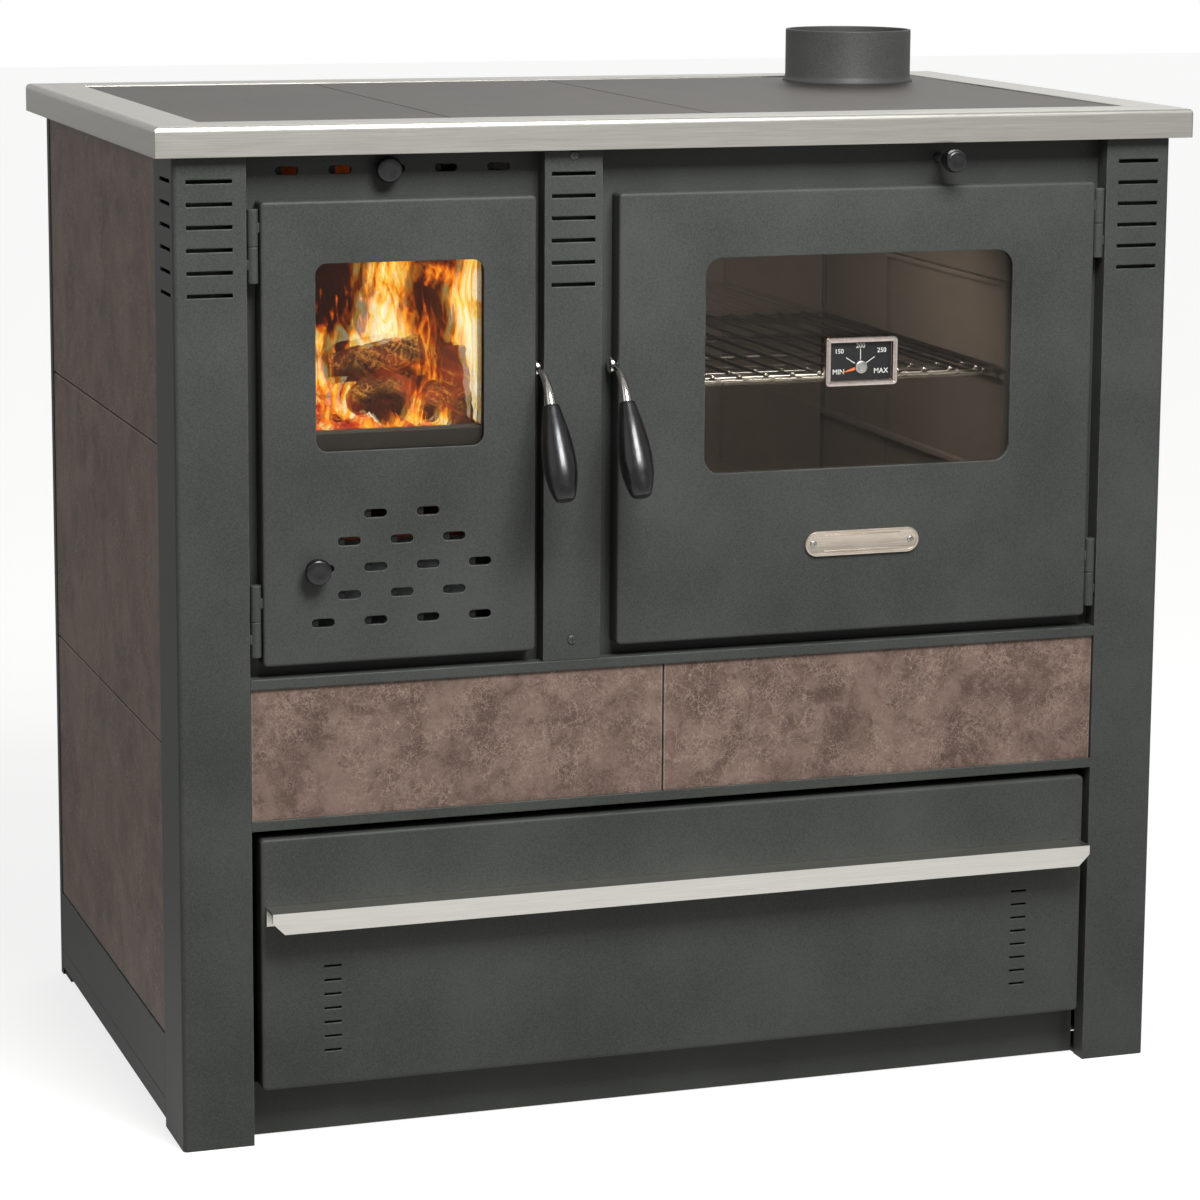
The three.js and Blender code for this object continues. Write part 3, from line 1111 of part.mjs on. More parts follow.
function buildOven(parent) {
  const left = ovenDoorX + OVEN_LEFT;
  const right = ovenDoorX + ovenDoorW - OVEN_RIGHT;
  const front = RECESS + PLATE_STEEL + FIT_GAP;
  const back = BODY_D - OVEN_BACK;
  const topZ = ovenTopZ;
  const runners = RIB_LEVELS.flatMap((level) => [
    box([left - SHEET / 2, front + OVEN_FLANGE, OVEN_Z + level - RIB_H],
      [left + RIB_W, back - OVEN_FLANGE, OVEN_Z + level]),
    box([right - RIB_W, front + OVEN_FLANGE, OVEN_Z + level - RIB_H],
      [right + SHEET / 2, back - OVEN_FLANGE, OVEN_Z + level]),
  ]);
  const shell = cut(
    joined([
      box([left - SHEET, front, OVEN_Z - SHEET], [right + SHEET, back + SHEET, topZ + SHEET]),
      box([left - OVEN_FLANGE, front, OVEN_Z - OVEN_FLANGE / 2],
        [right + OVEN_FLANGE, front + SHEET, topZ + OVEN_FLANGE]),
    ]),
    [box([left, front - OVERRUN, OVEN_Z], [right, back, topZ])]);
  piece('oven_box', joined([shell, ...runners]), ovenEnamel, parent);

  // Rack: a round-bar frame with wires from front to back on top of it, their ends standing out in front.
  const z = OVEN_Z + RIB_LEVELS[RACK_LEVEL] + FIT_GAP + RACK_BAR_R;
  const rackLeft = left + RACK_CLEAR + RACK_BAR_R;
  const rackRight = right - RACK_CLEAR - RACK_BAR_R;
  const rackBack = back - RACK_CLEAR - RACK_BAR_R - OVEN_FLANGE;
  const length = rackBack - RACK_FRONT;
  const width = rackRight - rackLeft + 2 * RACK_BAR_R;
  const bars = [
    ...[RACK_FRONT, rackBack].map((y) => bar(
      RACK_BAR_R, [rackLeft - RACK_BAR_R, y, z], width, 'X', RACK_STEPS)),
    ...[rackLeft, rackRight].map((x) => bar(RACK_BAR_R, [x, RACK_FRONT, z], length, 'Y', RACK_STEPS)),
  ];
  const pitch = (rackRight - rackLeft) / (RACK_WIRES + 1);
  const reach = 2 * RACK_BAR_R;
  const wires = Array.from({ length: RACK_WIRES }, (_, i) => bar(RACK_WIRE_R,
    [rackLeft + (i + 1) * pitch, RACK_FRONT - reach, z + RACK_BAR_R], length + 2 * reach, 'Y', WIRE_STEPS));
  piece('oven_rack', joined([...bars, ...wires]), polishedChrome, parent);
}

// ---- Drawer and its runners ----

function buildDrawer(parent) {
  const left = -postInner + DRAWER_SIDE_GAP;
  const right = postInner - DRAWER_SIDE_GAP;
  const drawer = groupAt(parent, 0, -DOOR_PROUD, DRAWER_Z);
  const columns = DRAWER_VENT_COUNTS.flatMap((count, side) => {
    const x = side ? right - DRAWER_VENT_INSET : left + DRAWER_VENT_INSET;
    return Array.from({ length: count }, (_, i) => pushed(
      squareSlot(x, DRAWER_VENT_Z + i * DRAWER_VENT_PITCH, DRAWER_VENT_L, DRAWER_VENT_H), 'Y',
      -OVERRUN, SHEET + OVERRUN));
  });
  piece('drawer_front', cut(tray([left, 0], [right, DRAWER_H], 0), columns), charcoalPaint, drawer);

  // Handle bar: a channel folded from one strip, with the front's lower corners cut off.
  const pullLeft = left + PULL_INSET;
  const pullRight = right - PULL_INSET;
  const channel = outline([
    [-FIT_GAP, PULL_TOP], [-PULL_REACH, PULL_TOP], [-PULL_REACH, PULL_TOP - PULL_H],
    [-PULL_REACH + SHEET, PULL_TOP - PULL_H], [-PULL_REACH + SHEET, PULL_TOP - SHEET],
    [-FIT_GAP - SHEET, PULL_TOP - SHEET], [-FIT_GAP - SHEET, PULL_TOP - PULL_BACK_H],
    [-FIT_GAP, PULL_TOP - PULL_BACK_H],
  ]);
  const corner = (x, hand) => pushed(
    outline([[x - hand * OVERRUN, PULL_TOP - PULL_H - OVERRUN],
      [x + hand * (PULL_CHAMFER + OVERRUN), PULL_TOP - PULL_H - OVERRUN],
      [x - hand * OVERRUN, PULL_TOP - PULL_H + PULL_CHAMFER + OVERRUN]]),
    'Y', -PULL_REACH - OVERRUN, -PULL_REACH + SHEET + OVERRUN);
  const pull = cut(pushed(channel, 'X', pullLeft, pullRight), [corner(pullLeft, 1), corner(pullRight, -1)]);
  piece('drawer_handle', pull, brushedSteel, drawer);

  // The box closes against the front sheet with a narrow flange round its open front.
  const boxSide = postInner - DRAWER_BOX_SIDE;
  const boxFront = SHEET + FIT_GAP;
  const boxBack = BODY_D - DRAWER_BACK + DOOR_PROUD;
  const boxLow = PAN_Z + SHEET + RUNNER_H + 2 * FIT_GAP - DRAWER_Z;
  const bin = cut(
    box([-boxSide, boxFront, boxLow], [boxSide, boxBack, boxLow + DRAWER_BOX_H]),
    [
      box([-boxSide + PANEL_T, boxFront + PANEL_T, boxLow + PANEL_T],
        [boxSide - PANEL_T, boxBack - PANEL_T, boxLow + DRAWER_BOX_H + OVERRUN]),
      box([-boxSide + DRAWER_FLANGE, boxFront - OVERRUN, boxLow + DRAWER_FLANGE],
        [boxSide - DRAWER_FLANGE, boxFront + 2 * PANEL_T, boxLow + DRAWER_BOX_H + OVERRUN]),
    ]);
  piece('drawer_box', bin, galvanised, drawer);

  // Runners: Z-folded rails on the base pan, with a ledge under the box.
  const foot = PAN_Z + SHEET + FIT_GAP;
  const ledgeZ = foot + RUNNER_H;
  const web = boxSide + FIT_GAP + SHEET;
  const rail = outline([
    [-web - RUNNER_W, foot], [-web, foot], [-web, ledgeZ - SHEET], [-web + RUNNER_LAP, ledgeZ - SHEET],
    [-web + RUNNER_LAP, ledgeZ], [-web - SHEET, ledgeZ], [-web - SHEET, foot + SHEET],
    [-web - RUNNER_W, foot + SHEET],
  ]);
  const railFrom = PLINTH_BACK + 3 * SHEET;
  const railTo = BODY_D - DRAWER_BACK + RUNNER_W;
  const runner = pushed(rail, 'Y', railFrom, railTo);
  piece('drawer_runner_left', runner, galvanised, parent);
  piece('drawer_runner_right', runner, galvanised, parent).scale.x = -1;
}

buildHob(stove);
buildPosts(stove);
buildSides(stove);
buildBackAndBase(stove);
buildFront(stove);
buildPostHinges(stove);
buildFireDoor(stove);
buildOvenDoor(stove);
buildSecondaryAir(stove);
buildDamper(stove);
buildFirebox(stove);
buildOven(stove);
buildDrawer(stove);

// The origin is the middle of the footprint, handles included.
const footprint = new THREE.Box3().setFromObject(stove, true);
stove.position.y = -(footprint.min.y + footprint.max.y) / 2;

export default stove;
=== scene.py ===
"""Wood cookstove: finishes, smooth turned pieces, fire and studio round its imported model."""
import json
import math
import random
from contextlib import contextmanager

import bmesh
import bpy
from bpy.props import FloatProperty, FloatVectorProperty, IntProperty, PointerProperty
from mathutils import Matrix, Vector


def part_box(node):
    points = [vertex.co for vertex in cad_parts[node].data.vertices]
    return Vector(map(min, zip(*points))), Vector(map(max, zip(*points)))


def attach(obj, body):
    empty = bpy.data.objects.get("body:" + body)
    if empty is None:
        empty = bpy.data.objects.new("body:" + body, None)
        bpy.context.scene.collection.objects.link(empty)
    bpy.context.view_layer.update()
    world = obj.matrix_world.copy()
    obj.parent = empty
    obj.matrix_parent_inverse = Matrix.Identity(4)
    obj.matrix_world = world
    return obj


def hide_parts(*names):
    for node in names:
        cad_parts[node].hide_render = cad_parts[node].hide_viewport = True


bl_info = {
    "name": "Wood cookstove",
    "version": (1, 0, 0),
    "blender": (4, 5, 0),
    "location": "View3D > Sidebar > Cookstove",
    "description": "Finishes a wood cookstove and lights it",
    "category": "Object",
}

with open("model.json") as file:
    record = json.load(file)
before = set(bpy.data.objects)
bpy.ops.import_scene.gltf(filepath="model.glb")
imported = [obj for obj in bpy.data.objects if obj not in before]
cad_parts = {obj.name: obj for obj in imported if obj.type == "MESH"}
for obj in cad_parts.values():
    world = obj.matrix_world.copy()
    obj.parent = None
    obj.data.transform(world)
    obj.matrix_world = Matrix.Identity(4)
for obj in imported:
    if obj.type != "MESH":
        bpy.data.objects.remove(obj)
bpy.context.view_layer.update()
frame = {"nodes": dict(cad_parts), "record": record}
MM = 0.001
SLOT_OF = {part["node"]: part["material_slot"] for part in frame["record"]["subparts"]}
# The drawer's handle bar takes a lighter copy of the rim's brushed steel: painted sheen.
FINISH_OF = {
    **SLOT_OF, "primary_air_slider": "slide_black", "secondary_air_slider": "slide_black",
    "drawer_handle": "bar_painted_sheen", "fire_door_glass_frame": "keeper_dark", "firebox_casing": "soot_black"}


# ---- Modelling by hand, in millimetres ----

def at(*place):
    """A place in millimetres as a vector in metres."""
    return Vector(place) * MM


def start():
    """Object mode, with nothing selected."""
    if bpy.context.object and bpy.context.object.mode != "OBJECT":
        bpy.ops.object.mode_set(mode="OBJECT")
    bpy.ops.object.select_all(action="DESELECT")


def named(name):
    """Names the active piece and its data."""
    piece = bpy.context.object
    piece.name = name
    piece.data.name = name
    return piece


def only(piece):
    """Selects one piece and makes it active."""
    start()
    piece.select_set(True)
    bpy.context.view_layer.objects.active = piece


def settle(piece):
    """Puts a piece's place and turn into its mesh."""
    only(piece)
    bpy.ops.object.transform_apply(location=True, rotation=True, scale=True)
    return piece


def placed(piece, place, turn=(0, 0, 0)):
    """Turns a piece made at the origin, then moves it to a place in millimetres."""
    only(piece)
    piece.rotation_euler = turn
    piece.location = at(*place)
    return settle(piece)


@contextmanager
def editing(piece):
    """Edit mode on one piece."""
    only(piece)
    bpy.ops.object.mode_set(mode="EDIT")
    yield
    bpy.ops.object.mode_set(mode="OBJECT")


def applied(piece, name, kind, **settings):
    """Gives a piece a modifier and applies it."""
    only(piece)
    change = piece.modifiers.new(name, kind)
    for key, value in settings.items():
        setattr(change, key, value)
    bpy.ops.object.modifier_apply(modifier=change.name)
    return piece


def mended(merge=True):
    """In edit mode, merges points that lie on one another and turns every face outwards."""
    bpy.ops.mesh.select_all(action="SELECT")
    if merge:
        bpy.ops.mesh.remove_doubles(threshold=1e-6)
    bpy.ops.mesh.normals_make_consistent(inside=False)


def smooth(piece, degrees=40):
    only(piece)
    bpy.ops.object.shade_smooth_by_angle(angle=math.radians(degrees))
    return piece


def lathe(name, profile, steps=64, ring=False):
    """Turns a [radius, height] profile about +Z: a disc is extruded and resized ring by ring. A ring's
    profile closes on itself, so its bore stays open."""
    start()
    (radius, height), *rest = profile
    bpy.ops.mesh.primitive_circle_add(
        vertices=steps, radius=radius * MM, fill_type="NOTHING" if ring else "NGON",
        location=at(0, 0, height))
    piece = named(name)
    with editing(piece):
        bpy.ops.mesh.select_all(action="SELECT")
        for wide, high in rest:
            bpy.ops.mesh.extrude_region_move(
                TRANSFORM_OT_translate={"value": at(0, 0, high - height)})
            bpy.ops.transform.resize(
                value=(wide / radius, wide / radius, 1), center_override=at(0, 0, high))
            radius, height = wide, high
        mended(merge=ring)
    return smooth(settle(piece))


def block(name, low, high, round_edge=0.0, segments=3):
    """A box between two corners, with rounded edges."""
    start()
    low, high = at(*low), at(*high)
    bpy.ops.mesh.primitive_cube_add(size=1, location=(low + high) / 2, scale=high - low)
    piece = named(name)
    settle(piece)
    if round_edge:
        smooth(applied(piece, "round edges", "BEVEL", width=round_edge * MM, segments=segments))
    return piece


def tube(name, points, radius, closed=False, radii=None, sides=5):
    """A round bar along points in millimetres, with a radius of its own at each point if radii are given."""
    start()
    bpy.ops.curve.primitive_nurbs_path_add()
    piece = named(name)
    data = piece.data
    data.splines.clear()
    path = data.splines.new("POLY")
    path.points.add(len(points) - 1)
    for i, (knot, point) in enumerate(zip(path.points, points)):
        knot.co = at(*point).to_4d()
        knot.radius = radii[i] if radii else 1
    path.use_cyclic_u = closed
    data.bevel_depth, data.bevel_resolution = radius * MM, sides
    data.use_fill_caps = not closed
    only(piece)
    bpy.ops.object.convert(target="MESH")
    settle(piece)
    with editing(piece):
        mended()
    return smooth(named(name))


def joined(name, pieces):
    """One piece made of several."""
    start()
    for piece in pieces:
        piece.select_set(True)
    bpy.context.view_layer.objects.active = pieces[0]
    bpy.ops.object.join()
    return named(name)


def copied(piece, name, move):
    """A copy with its own mesh, moved by millimetres."""
    twin = piece.copy()
    twin.data = piece.data.copy()
    twin.name = twin.data.name = name
    bpy.context.collection.objects.link(twin)
    twin.data.transform(Matrix.Translation(at(*move)))
    return twin


def facing(piece, direction):
    """In edit mode, selects the faces that look in a direction and lie furthest along it."""
    way = Vector(direction)
    bpy.ops.mesh.select_all(action="DESELECT")
    mesh = bmesh.from_edit_mesh(piece.data)
    fits = [face for face in mesh.faces if face.normal.dot(way) > 0.99]
    far = max(face.calc_center_median().dot(way) for face in fits)
    for face in fits:
        face.select_set(face.calc_center_median().dot(way) > far - 1e-5)
    mesh.select_flush_mode()
    bmesh.update_edit_mesh(piece.data)


def stepped(piece, direction, steps):
    """Insets the far face and then pushes it, once for each (inset, push) in millimetres."""
    with editing(piece):
        facing(piece, direction)
        for inset, push in steps:
            bpy.ops.mesh.inset(thickness=inset * MM, depth=0)
            bpy.ops.mesh.extrude_region_move(
                TRANSFORM_OT_translate={"value": Vector(direction) * push * MM})
    return piece


def rounded_corners(piece, axis, radius, segments=5):
    """Rounds the edges of a box that run along an axis."""
    with editing(piece):
        bpy.ops.mesh.select_all(action="DESELECT")
        mesh = bmesh.from_edit_mesh(piece.data)
        for edge in mesh.edges:
            way = (edge.verts[1].co - edge.verts[0].co).normalized()
            edge.select_set(abs(way[axis]) > 0.99)
        bmesh.update_edit_mesh(piece.data)
        bpy.ops.mesh.bevel(offset=radius * MM, segments=segments, affect="EDGES")
    return piece


def carved(piece, cutters):
    """Cuts other pieces out of a piece and removes them."""
    for cutter in cutters:
        applied(piece, "cut", "BOOLEAN", operation="DIFFERENCE", object=cutter, solver="EXACT")
        bpy.data.objects.remove(cutter, do_unlink=True)
    return piece


def clouds(name, size, depth):
    """A cloud texture that displaces a surface."""
    texture = bpy.data.textures.new(name, "CLOUDS")
    texture.noise_scale, texture.noise_depth = size, depth
    return texture


def displaced(piece, texture, strength, middle, direction="NORMAL"):
    """Moves a piece's points by a texture on its own coordinates. strength is in millimetres."""
    return applied(piece, texture.name, "DISPLACE", texture=texture, strength=strength * MM,
                   mid_level=middle, direction=direction, texture_coords="LOCAL")


def lettering(name, words, height, place):
    """Raised figures that face -Y, by the middle of the word."""
    start()
    bpy.ops.object.text_add()
    text = bpy.context.object
    text.data.body, text.data.size = words, height * MM
    text.data.align_x, text.data.align_y = "CENTER", "CENTER"
    text.data.extrude, text.data.offset = 0.06 * MM, 0.02 * MM
    text.data.resolution_u = 4
    bpy.ops.object.convert(target="MESH")
    piece = named(name)
    return placed(piece, place, (math.pi / 2, 0, 0))


def finished(piece, body, slot, *nodes, finish=None):
    """Gives a piece its finish, the body that it rides on and the nodes that it stands for."""
    piece.data.materials.clear()
    piece.data.materials.append(FINISHES[finish or slot])
    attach(piece, body)
    if nodes:
        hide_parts(*nodes)
    return piece


def node_span(node):
    """A node's lowest and highest corners in millimetres."""
    low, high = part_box(node)
    return Vector(low) / MM, Vector(high) / MM


def aimed(place, aim):
    """The turn of a lamp that looks from one place at another."""
    return (Vector(aim) - Vector(place)).to_track_quat("-Z", "Y").to_euler()


def lamp(name, kind, energy, place, turn, **settings):
    """A lamp with its settings, at a place in metres."""
    start()
    bpy.ops.object.light_add(type=kind, location=place, rotation=turn)
    light = bpy.context.object
    light.name, light.data.energy = name, energy
    for key, value in settings.items():
        setattr(light.data, key, value)
    return light


# ---- Shader nodes ----

class Wiring:
    """Short calls that add shader nodes to one tree and join them."""

    def __init__(self, tree):
        self.tree = tree

    def add(self, kind, inputs=None, **settings):
        node = self.tree.nodes.new(kind)
        for key, value in settings.items():
            setattr(node, key, value)
        for key, value in (inputs or {}).items():
            self.put(node.inputs[key], value)
        return node

    def put(self, socket, value):
        if isinstance(value, bpy.types.NodeSocket):
            self.tree.links.new(value, socket)
        else:
            socket.default_value = value

    def math(self, operation, first, second=0.0, clamp=False):
        node = self.add("ShaderNodeMath", {0: first, 1: second}, operation=operation, use_clamp=clamp)
        return node.outputs[0]

    def times(self, first, second, clamp=False):
        return self.math("MULTIPLY", first, second, clamp)

    def plus(self, first, second):
        return self.math("ADD", first, second)

    def minus(self, first, second):
        return self.math("SUBTRACT", first, second)

    def most(self, first, second):
        return self.math("MAXIMUM", first, second)

    def mix(self, factor, first, second):
        node = self.add("ShaderNodeMix", {0: factor, 6: first, 7: second}, data_type="RGBA")
        return node.outputs[2]

    def span(self, value, from_low, from_high, to_low=0.0, to_high=1.0):
        """Maps a range onto another and clamps it."""
        node = self.add("ShaderNodeMapRange", {
            0: value, 1: from_low, 2: from_high, 3: to_low, 4: to_high}, clamp=True)
        return node.outputs[0]

    def place(self, scale=(1, 1, 1), turn=(0, 0, 0)):
        source = self.add("ShaderNodeTexCoord").outputs["Object"]
        return self.add("ShaderNodeMapping", {
            "Vector": source, "Scale": scale, "Rotation": turn}).outputs[0]

    def axes(self, kind="Object"):
        """The X, Y and Z of a texture coordinate."""
        source = self.add("ShaderNodeTexCoord").outputs[kind]
        return self.add("ShaderNodeSeparateXYZ", {0: source}).outputs

    def ramp(self, value, *stops):
        """A colour ramp through (position, #rrggbb) stops."""
        node = self.add("ShaderNodeValToRGB", {0: value})
        marks = node.color_ramp.elements
        first, *between, last = stops
        for i, (position, code) in enumerate((first, last)):
            marks[i].position, marks[i].color = position, tone(code)
        for position, code in between:
            marks.new(position).color = tone(code)
        return node.outputs[0]

    def rays(self):
        """1 where a ray comes from the camera or through glass, and 1 where it is a reflection."""
        kinds = self.add("ShaderNodeLightPath").outputs
        return self.most(kinds["Is Camera Ray"], kinds["Is Transmission Ray"]), kinds["Is Glossy Ray"]

    def noise(self, vector, scale, detail=4.0, rough=0.5, distortion=0.0):
        return self.add("ShaderNodeTexNoise", {
            "Vector": vector, "Scale": scale, "Detail": detail, "Roughness": rough,
            "Distortion": distortion}).outputs["Fac"]

    def group(self, tree, inputs):
        node = self.add("ShaderNodeGroup", node_tree=tree)
        for key, value in inputs.items():
            self.put(node.inputs[key], value)
        return node.outputs


def tone(code):
    """A finish's colour written as #rrggbb, as linear light."""
    parts = [int(code[i:i + 2], 16) / 255 for i in (1, 3, 5)]
    return (*[c / 12.92 if c < 0.04045 else ((c + 0.055) / 1.055) ** 2.4 for c in parts], 1.0)


def effect(name, inputs, outputs, build):
    """A shared node group. inputs and outputs are (name, socket kind, default)."""
    tree = bpy.data.node_groups.new(name, "ShaderNodeTree")
    for label, kind, default in inputs:
        socket = tree.interface.new_socket(label, in_out="INPUT", socket_type=f"NodeSocket{kind}")
        if default is not None:
            socket.default_value = default
    for label, kind in outputs:
        tree.interface.new_socket(label, in_out="OUTPUT", socket_type=f"NodeSocket{kind}")
    wires = Wiring(tree)
    source = wires.add("NodeGroupInput").outputs
    sink = wires.add("NodeGroupOutput").inputs
    for label, value in build(wires, source).items():
        wires.put(sink[label], value)
    return tree


def grain_effect():
    """Fine grain of a sprayed or cast surface, with slow changes of shade."""
    def build(wires, source):
        where, scale = source["Vector"], source["Scale"]
        fine = wires.noise(where, scale, 2.0)
        slow = wires.noise(where, wires.times(scale, 0.01), 3.0)
        shade = wires.plus(wires.times(fine, 0.5), wires.times(slow, 0.5))
        spread = wires.span(shade, 0.35, 0.65)
        return {
            "Color": wires.mix(spread, source["Dark"], source["Light"]),
            "Roughness": wires.plus(source["Gloss"], wires.times(slow, 0.15)),
            "Height": fine,
        }
    return effect("Surface grain", [
        ("Vector", "Vector", None), ("Scale", "Float", 900.0), ("Dark", "Color", None),
        ("Light", "Color", None), ("Gloss", "Float", 0.4)],
        [("Color", "Color"), ("Roughness", "Float"), ("Height", "Float")], build)


def brush_effect():
    """Long fine scratches of brushed metal, along the axis that Vector is squeezed on."""
    def build(wires, source):
        lines = wires.noise(source["Vector"], source["Scale"], 5.0, 0.7)
        cloud = wires.noise(source["Vector"], wires.times(source["Scale"], 0.06), 3.0)
        spread = wires.span(lines, 0.3, 0.7)
        shade = wires.mix(spread, source["Dark"], source["Light"])
        cloudy = wires.mix(wires.span(cloud, 0.35, 0.65, 0.0, 0.35), shade, source["Dark"])
        return {
            "Color": cloudy,
            "Roughness": wires.plus(source["Gloss"], wires.times(lines, 0.16)),
            "Height": lines,
        }
    return effect("Brushed lines", [
        ("Vector", "Vector", None), ("Scale", "Float", 60.0), ("Dark", "Color", None),
        ("Light", "Color", None), ("Gloss", "Float", 0.3)],
        [("Color", "Color"), ("Roughness", "Float"), ("Height", "Float")], build)


def edge_effect():
    """Masks along the edges: Mask is patchy wear, Edge is 1 along every edge and gives the stone tile its
    painted highlight, and Normal rounds the edges.
    """
    def build(wires, source):
        soft = wires.add("ShaderNodeBevel", {"Radius": source["Width"]}, samples=4)
        true = wires.add("ShaderNodeNewGeometry").outputs["Normal"]
        dot = wires.add("ShaderNodeVectorMath", {0: soft.outputs[0], 1: true}, operation="DOT_PRODUCT")
        worn = wires.span(dot.outputs["Value"], 0.985, 0.8)
        patchy = wires.noise(source["Vector"], 60.0, 4.0)
        return {"Mask": wires.times(worn, wires.span(patchy, 0.35, 0.55), clamp=True),
                "Edge": worn, "Normal": soft.outputs[0]}
    return effect("Edge wear and highlight", [("Vector", "Vector", None), ("Width", "Float", 0.0012)],
                  [("Mask", "Float"), ("Edge", "Float"), ("Normal", "Vector")], build)


def soot_effect():
    """Soot that thins out with height."""
    def build(wires, source):
        rise = wires.add("ShaderNodeSeparateXYZ", {0: source["Vector"]}).outputs["Z"]
        height = wires.span(rise, source["From"], source["To"], 1.0, 0.0)
        cloud = wires.noise(source["Vector"], 18.0, 6.0, 0.6)
        return {"Mask": wires.times(wires.plus(height, 0.25),
                                   wires.span(cloud, 0.3, 0.7), clamp=True)}
    return effect("Soot", [("Vector", "Vector", None), ("From", "Float", 0.5), ("To", "Float", 0.8)],
                  [("Mask", "Float")], build)


def new_material(name, **plain):
    """A Principled material with its plain values set on the shader's own sockets."""
    material = bpy.data.materials.new(name)
    material.use_nodes = True
    shader = material.node_tree.nodes["Principled BSDF"]
    for key, value in plain.items():
        shader.inputs[key.replace("_", " ")].default_value = value
    return material, Wiring(material.node_tree), shader.inputs


def bumped(wires, sockets, height, distance, strength=0.5, soft=None):
    """Bump from a height. soft is the rounded normal of the edges under it."""
    bump = {"Height": height, "Distance": distance * MM, "Strength": strength}
    if soft is not None:
        bump["Normal"] = soft
    wires.put(sockets["Normal"], wires.add("ShaderNodeBump", bump).outputs[0])


def grained(name, dark, light, gloss, scale, bump, worn=None, **plain):
    """A sprayed, cast or enamelled surface. worn is the colour of its worn edges."""
    material, wires, sockets = new_material(name, **plain)
    where = wires.place()
    grain = wires.group(EFFECTS["grain"], {
        "Vector": where, "Scale": scale, "Dark": tone(dark), "Light": tone(light), "Gloss": gloss})
    color, soft = grain["Color"], None
    if worn:
        edge = wires.group(EFFECTS["edge"], {"Vector": where, "Width": 1.0 * MM})
        color = wires.mix(wires.times(edge["Mask"], 0.6), color, tone(worn))
        soft = edge["Normal"]
    wires.put(sockets["Base Color"], color)
    wires.put(sockets["Roughness"], grain["Roughness"])
    bumped(wires, sockets, grain["Height"], bump, soft=soft)
    return material


def brushed(name, dark, light, gloss, squeeze, bump=0.02, scale=60.0, **plain):
    """Metal brushed along the axis on which the pattern is squeezed."""
    material, wires, sockets = new_material(name, Metallic=1.0, **plain)
    lines = wires.group(EFFECTS["brush"], {
        "Vector": wires.place(squeeze), "Scale": scale, "Dark": tone(dark), "Light": tone(light),
        "Gloss": gloss})
    wires.put(sockets["Base Color"], lines["Color"])
    wires.put(sockets["Roughness"], lines["Roughness"])
    bumped(wires, sockets, lines["Height"], bump)
    return material


# ---- This stove's finishes ----

def charcoal_paint():
    """Satin sprayed paint, a little worn along its edges."""
    colors = bpy.context.scene.cookstove
    material, wires, sockets = new_material("Charcoal paint", Specular_IOR_Level=0.22)
    where = wires.place()
    grain = wires.group(EFFECTS["grain"], {
        "Vector": where, "Scale": 820.0, "Gloss": 0.40,
        "Dark": (*colors.paint_dark, 1), "Light": (*colors.paint_light, 1)})
    edge = wires.group(EFFECTS["edge"], {"Vector": where, "Width": 1.6 * MM})
    worn = wires.mix(wires.times(edge["Mask"], 0.35), grain["Color"], tone("#868a88"))
    wires.put(sockets["Base Color"], worn)
    wires.put(sockets["Roughness"], grain["Roughness"])
    bumped(wires, sockets, grain["Height"], 0.09, 0.5, edge["Normal"])
    return material


def brushed_rim():
    """Brushing that runs along each side of the worktop and meets at the mitred corners."""
    material, wires, sockets = new_material("Brushed steel rim", Metallic=1.0)
    low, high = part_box("worktop_frame")
    middle = (Vector(low) + Vector(high)) / 2
    half = (Vector(high) - Vector(low)) / 2
    axes = wires.axes()
    from_end = wires.minus(half.x, wires.math("ABSOLUTE", wires.minus(axes["X"], middle.x)))
    from_front = wires.minus(half.y, wires.math("ABSOLUTE", wires.minus(axes["Y"], middle.y)))
    side = wires.math("LESS_THAN", from_end, from_front)
    groups = [wires.group(EFFECTS["brush"], {
        "Vector": wires.place(squeeze), "Scale": 90.0, "Dark": tone("#b1afa8"),
        "Light": tone("#cbc9c1"), "Gloss": 0.27})
        for squeeze in ((0.25, 22, 22), (22, 0.25, 22))]
    joint = wires.math("ABSOLUTE", wires.minus(from_end, from_front))
    dark_line = wires.span(joint, 0.0, 0.0007, 0.6, 0.0)
    color = wires.mix(side, groups[0]["Color"], groups[1]["Color"])
    wires.put(sockets["Base Color"], wires.mix(dark_line, color, tone("#5c5a55")))
    wires.put(sockets["Roughness"], wires.mix(side, groups[0]["Roughness"], groups[1]["Roughness"]))
    soft = wires.group(EFFECTS["edge"], {"Vector": wires.place(), "Width": 2.5 * MM})["Normal"]
    bumped(wires, sockets, wires.mix(side, groups[0]["Height"], groups[1]["Height"]), 0.012, soft=soft)
    return material


def hob_steel():
    """Ground steel plates, darkened by heat in slow brown clouds."""
    material, wires, sockets = new_material("Hob steel", Metallic=0.75)
    lines = wires.group(EFFECTS["brush"], {
        "Vector": wires.place((22, 0.6, 22)), "Scale": 80.0, "Dark": tone("#423e38"),
        "Light": tone("#544f47"), "Gloss": 0.42})
    cloud = wires.noise(wires.place(), 5.0, 3.0, 0.55, 0.6)
    tinted = wires.mix(wires.span(cloud, 0.42, 0.62, 0.0, 0.35), lines["Color"], tone("#3d3a35"))
    wires.put(sockets["Base Color"], tinted)
    wires.put(sockets["Roughness"], lines["Roughness"])
    soft = wires.group(EFFECTS["edge"], {"Vector": wires.place(), "Width": 1.2 * MM})["Normal"]
    bumped(wires, sockets, lines["Height"], 0.01, soft=soft)
    return material


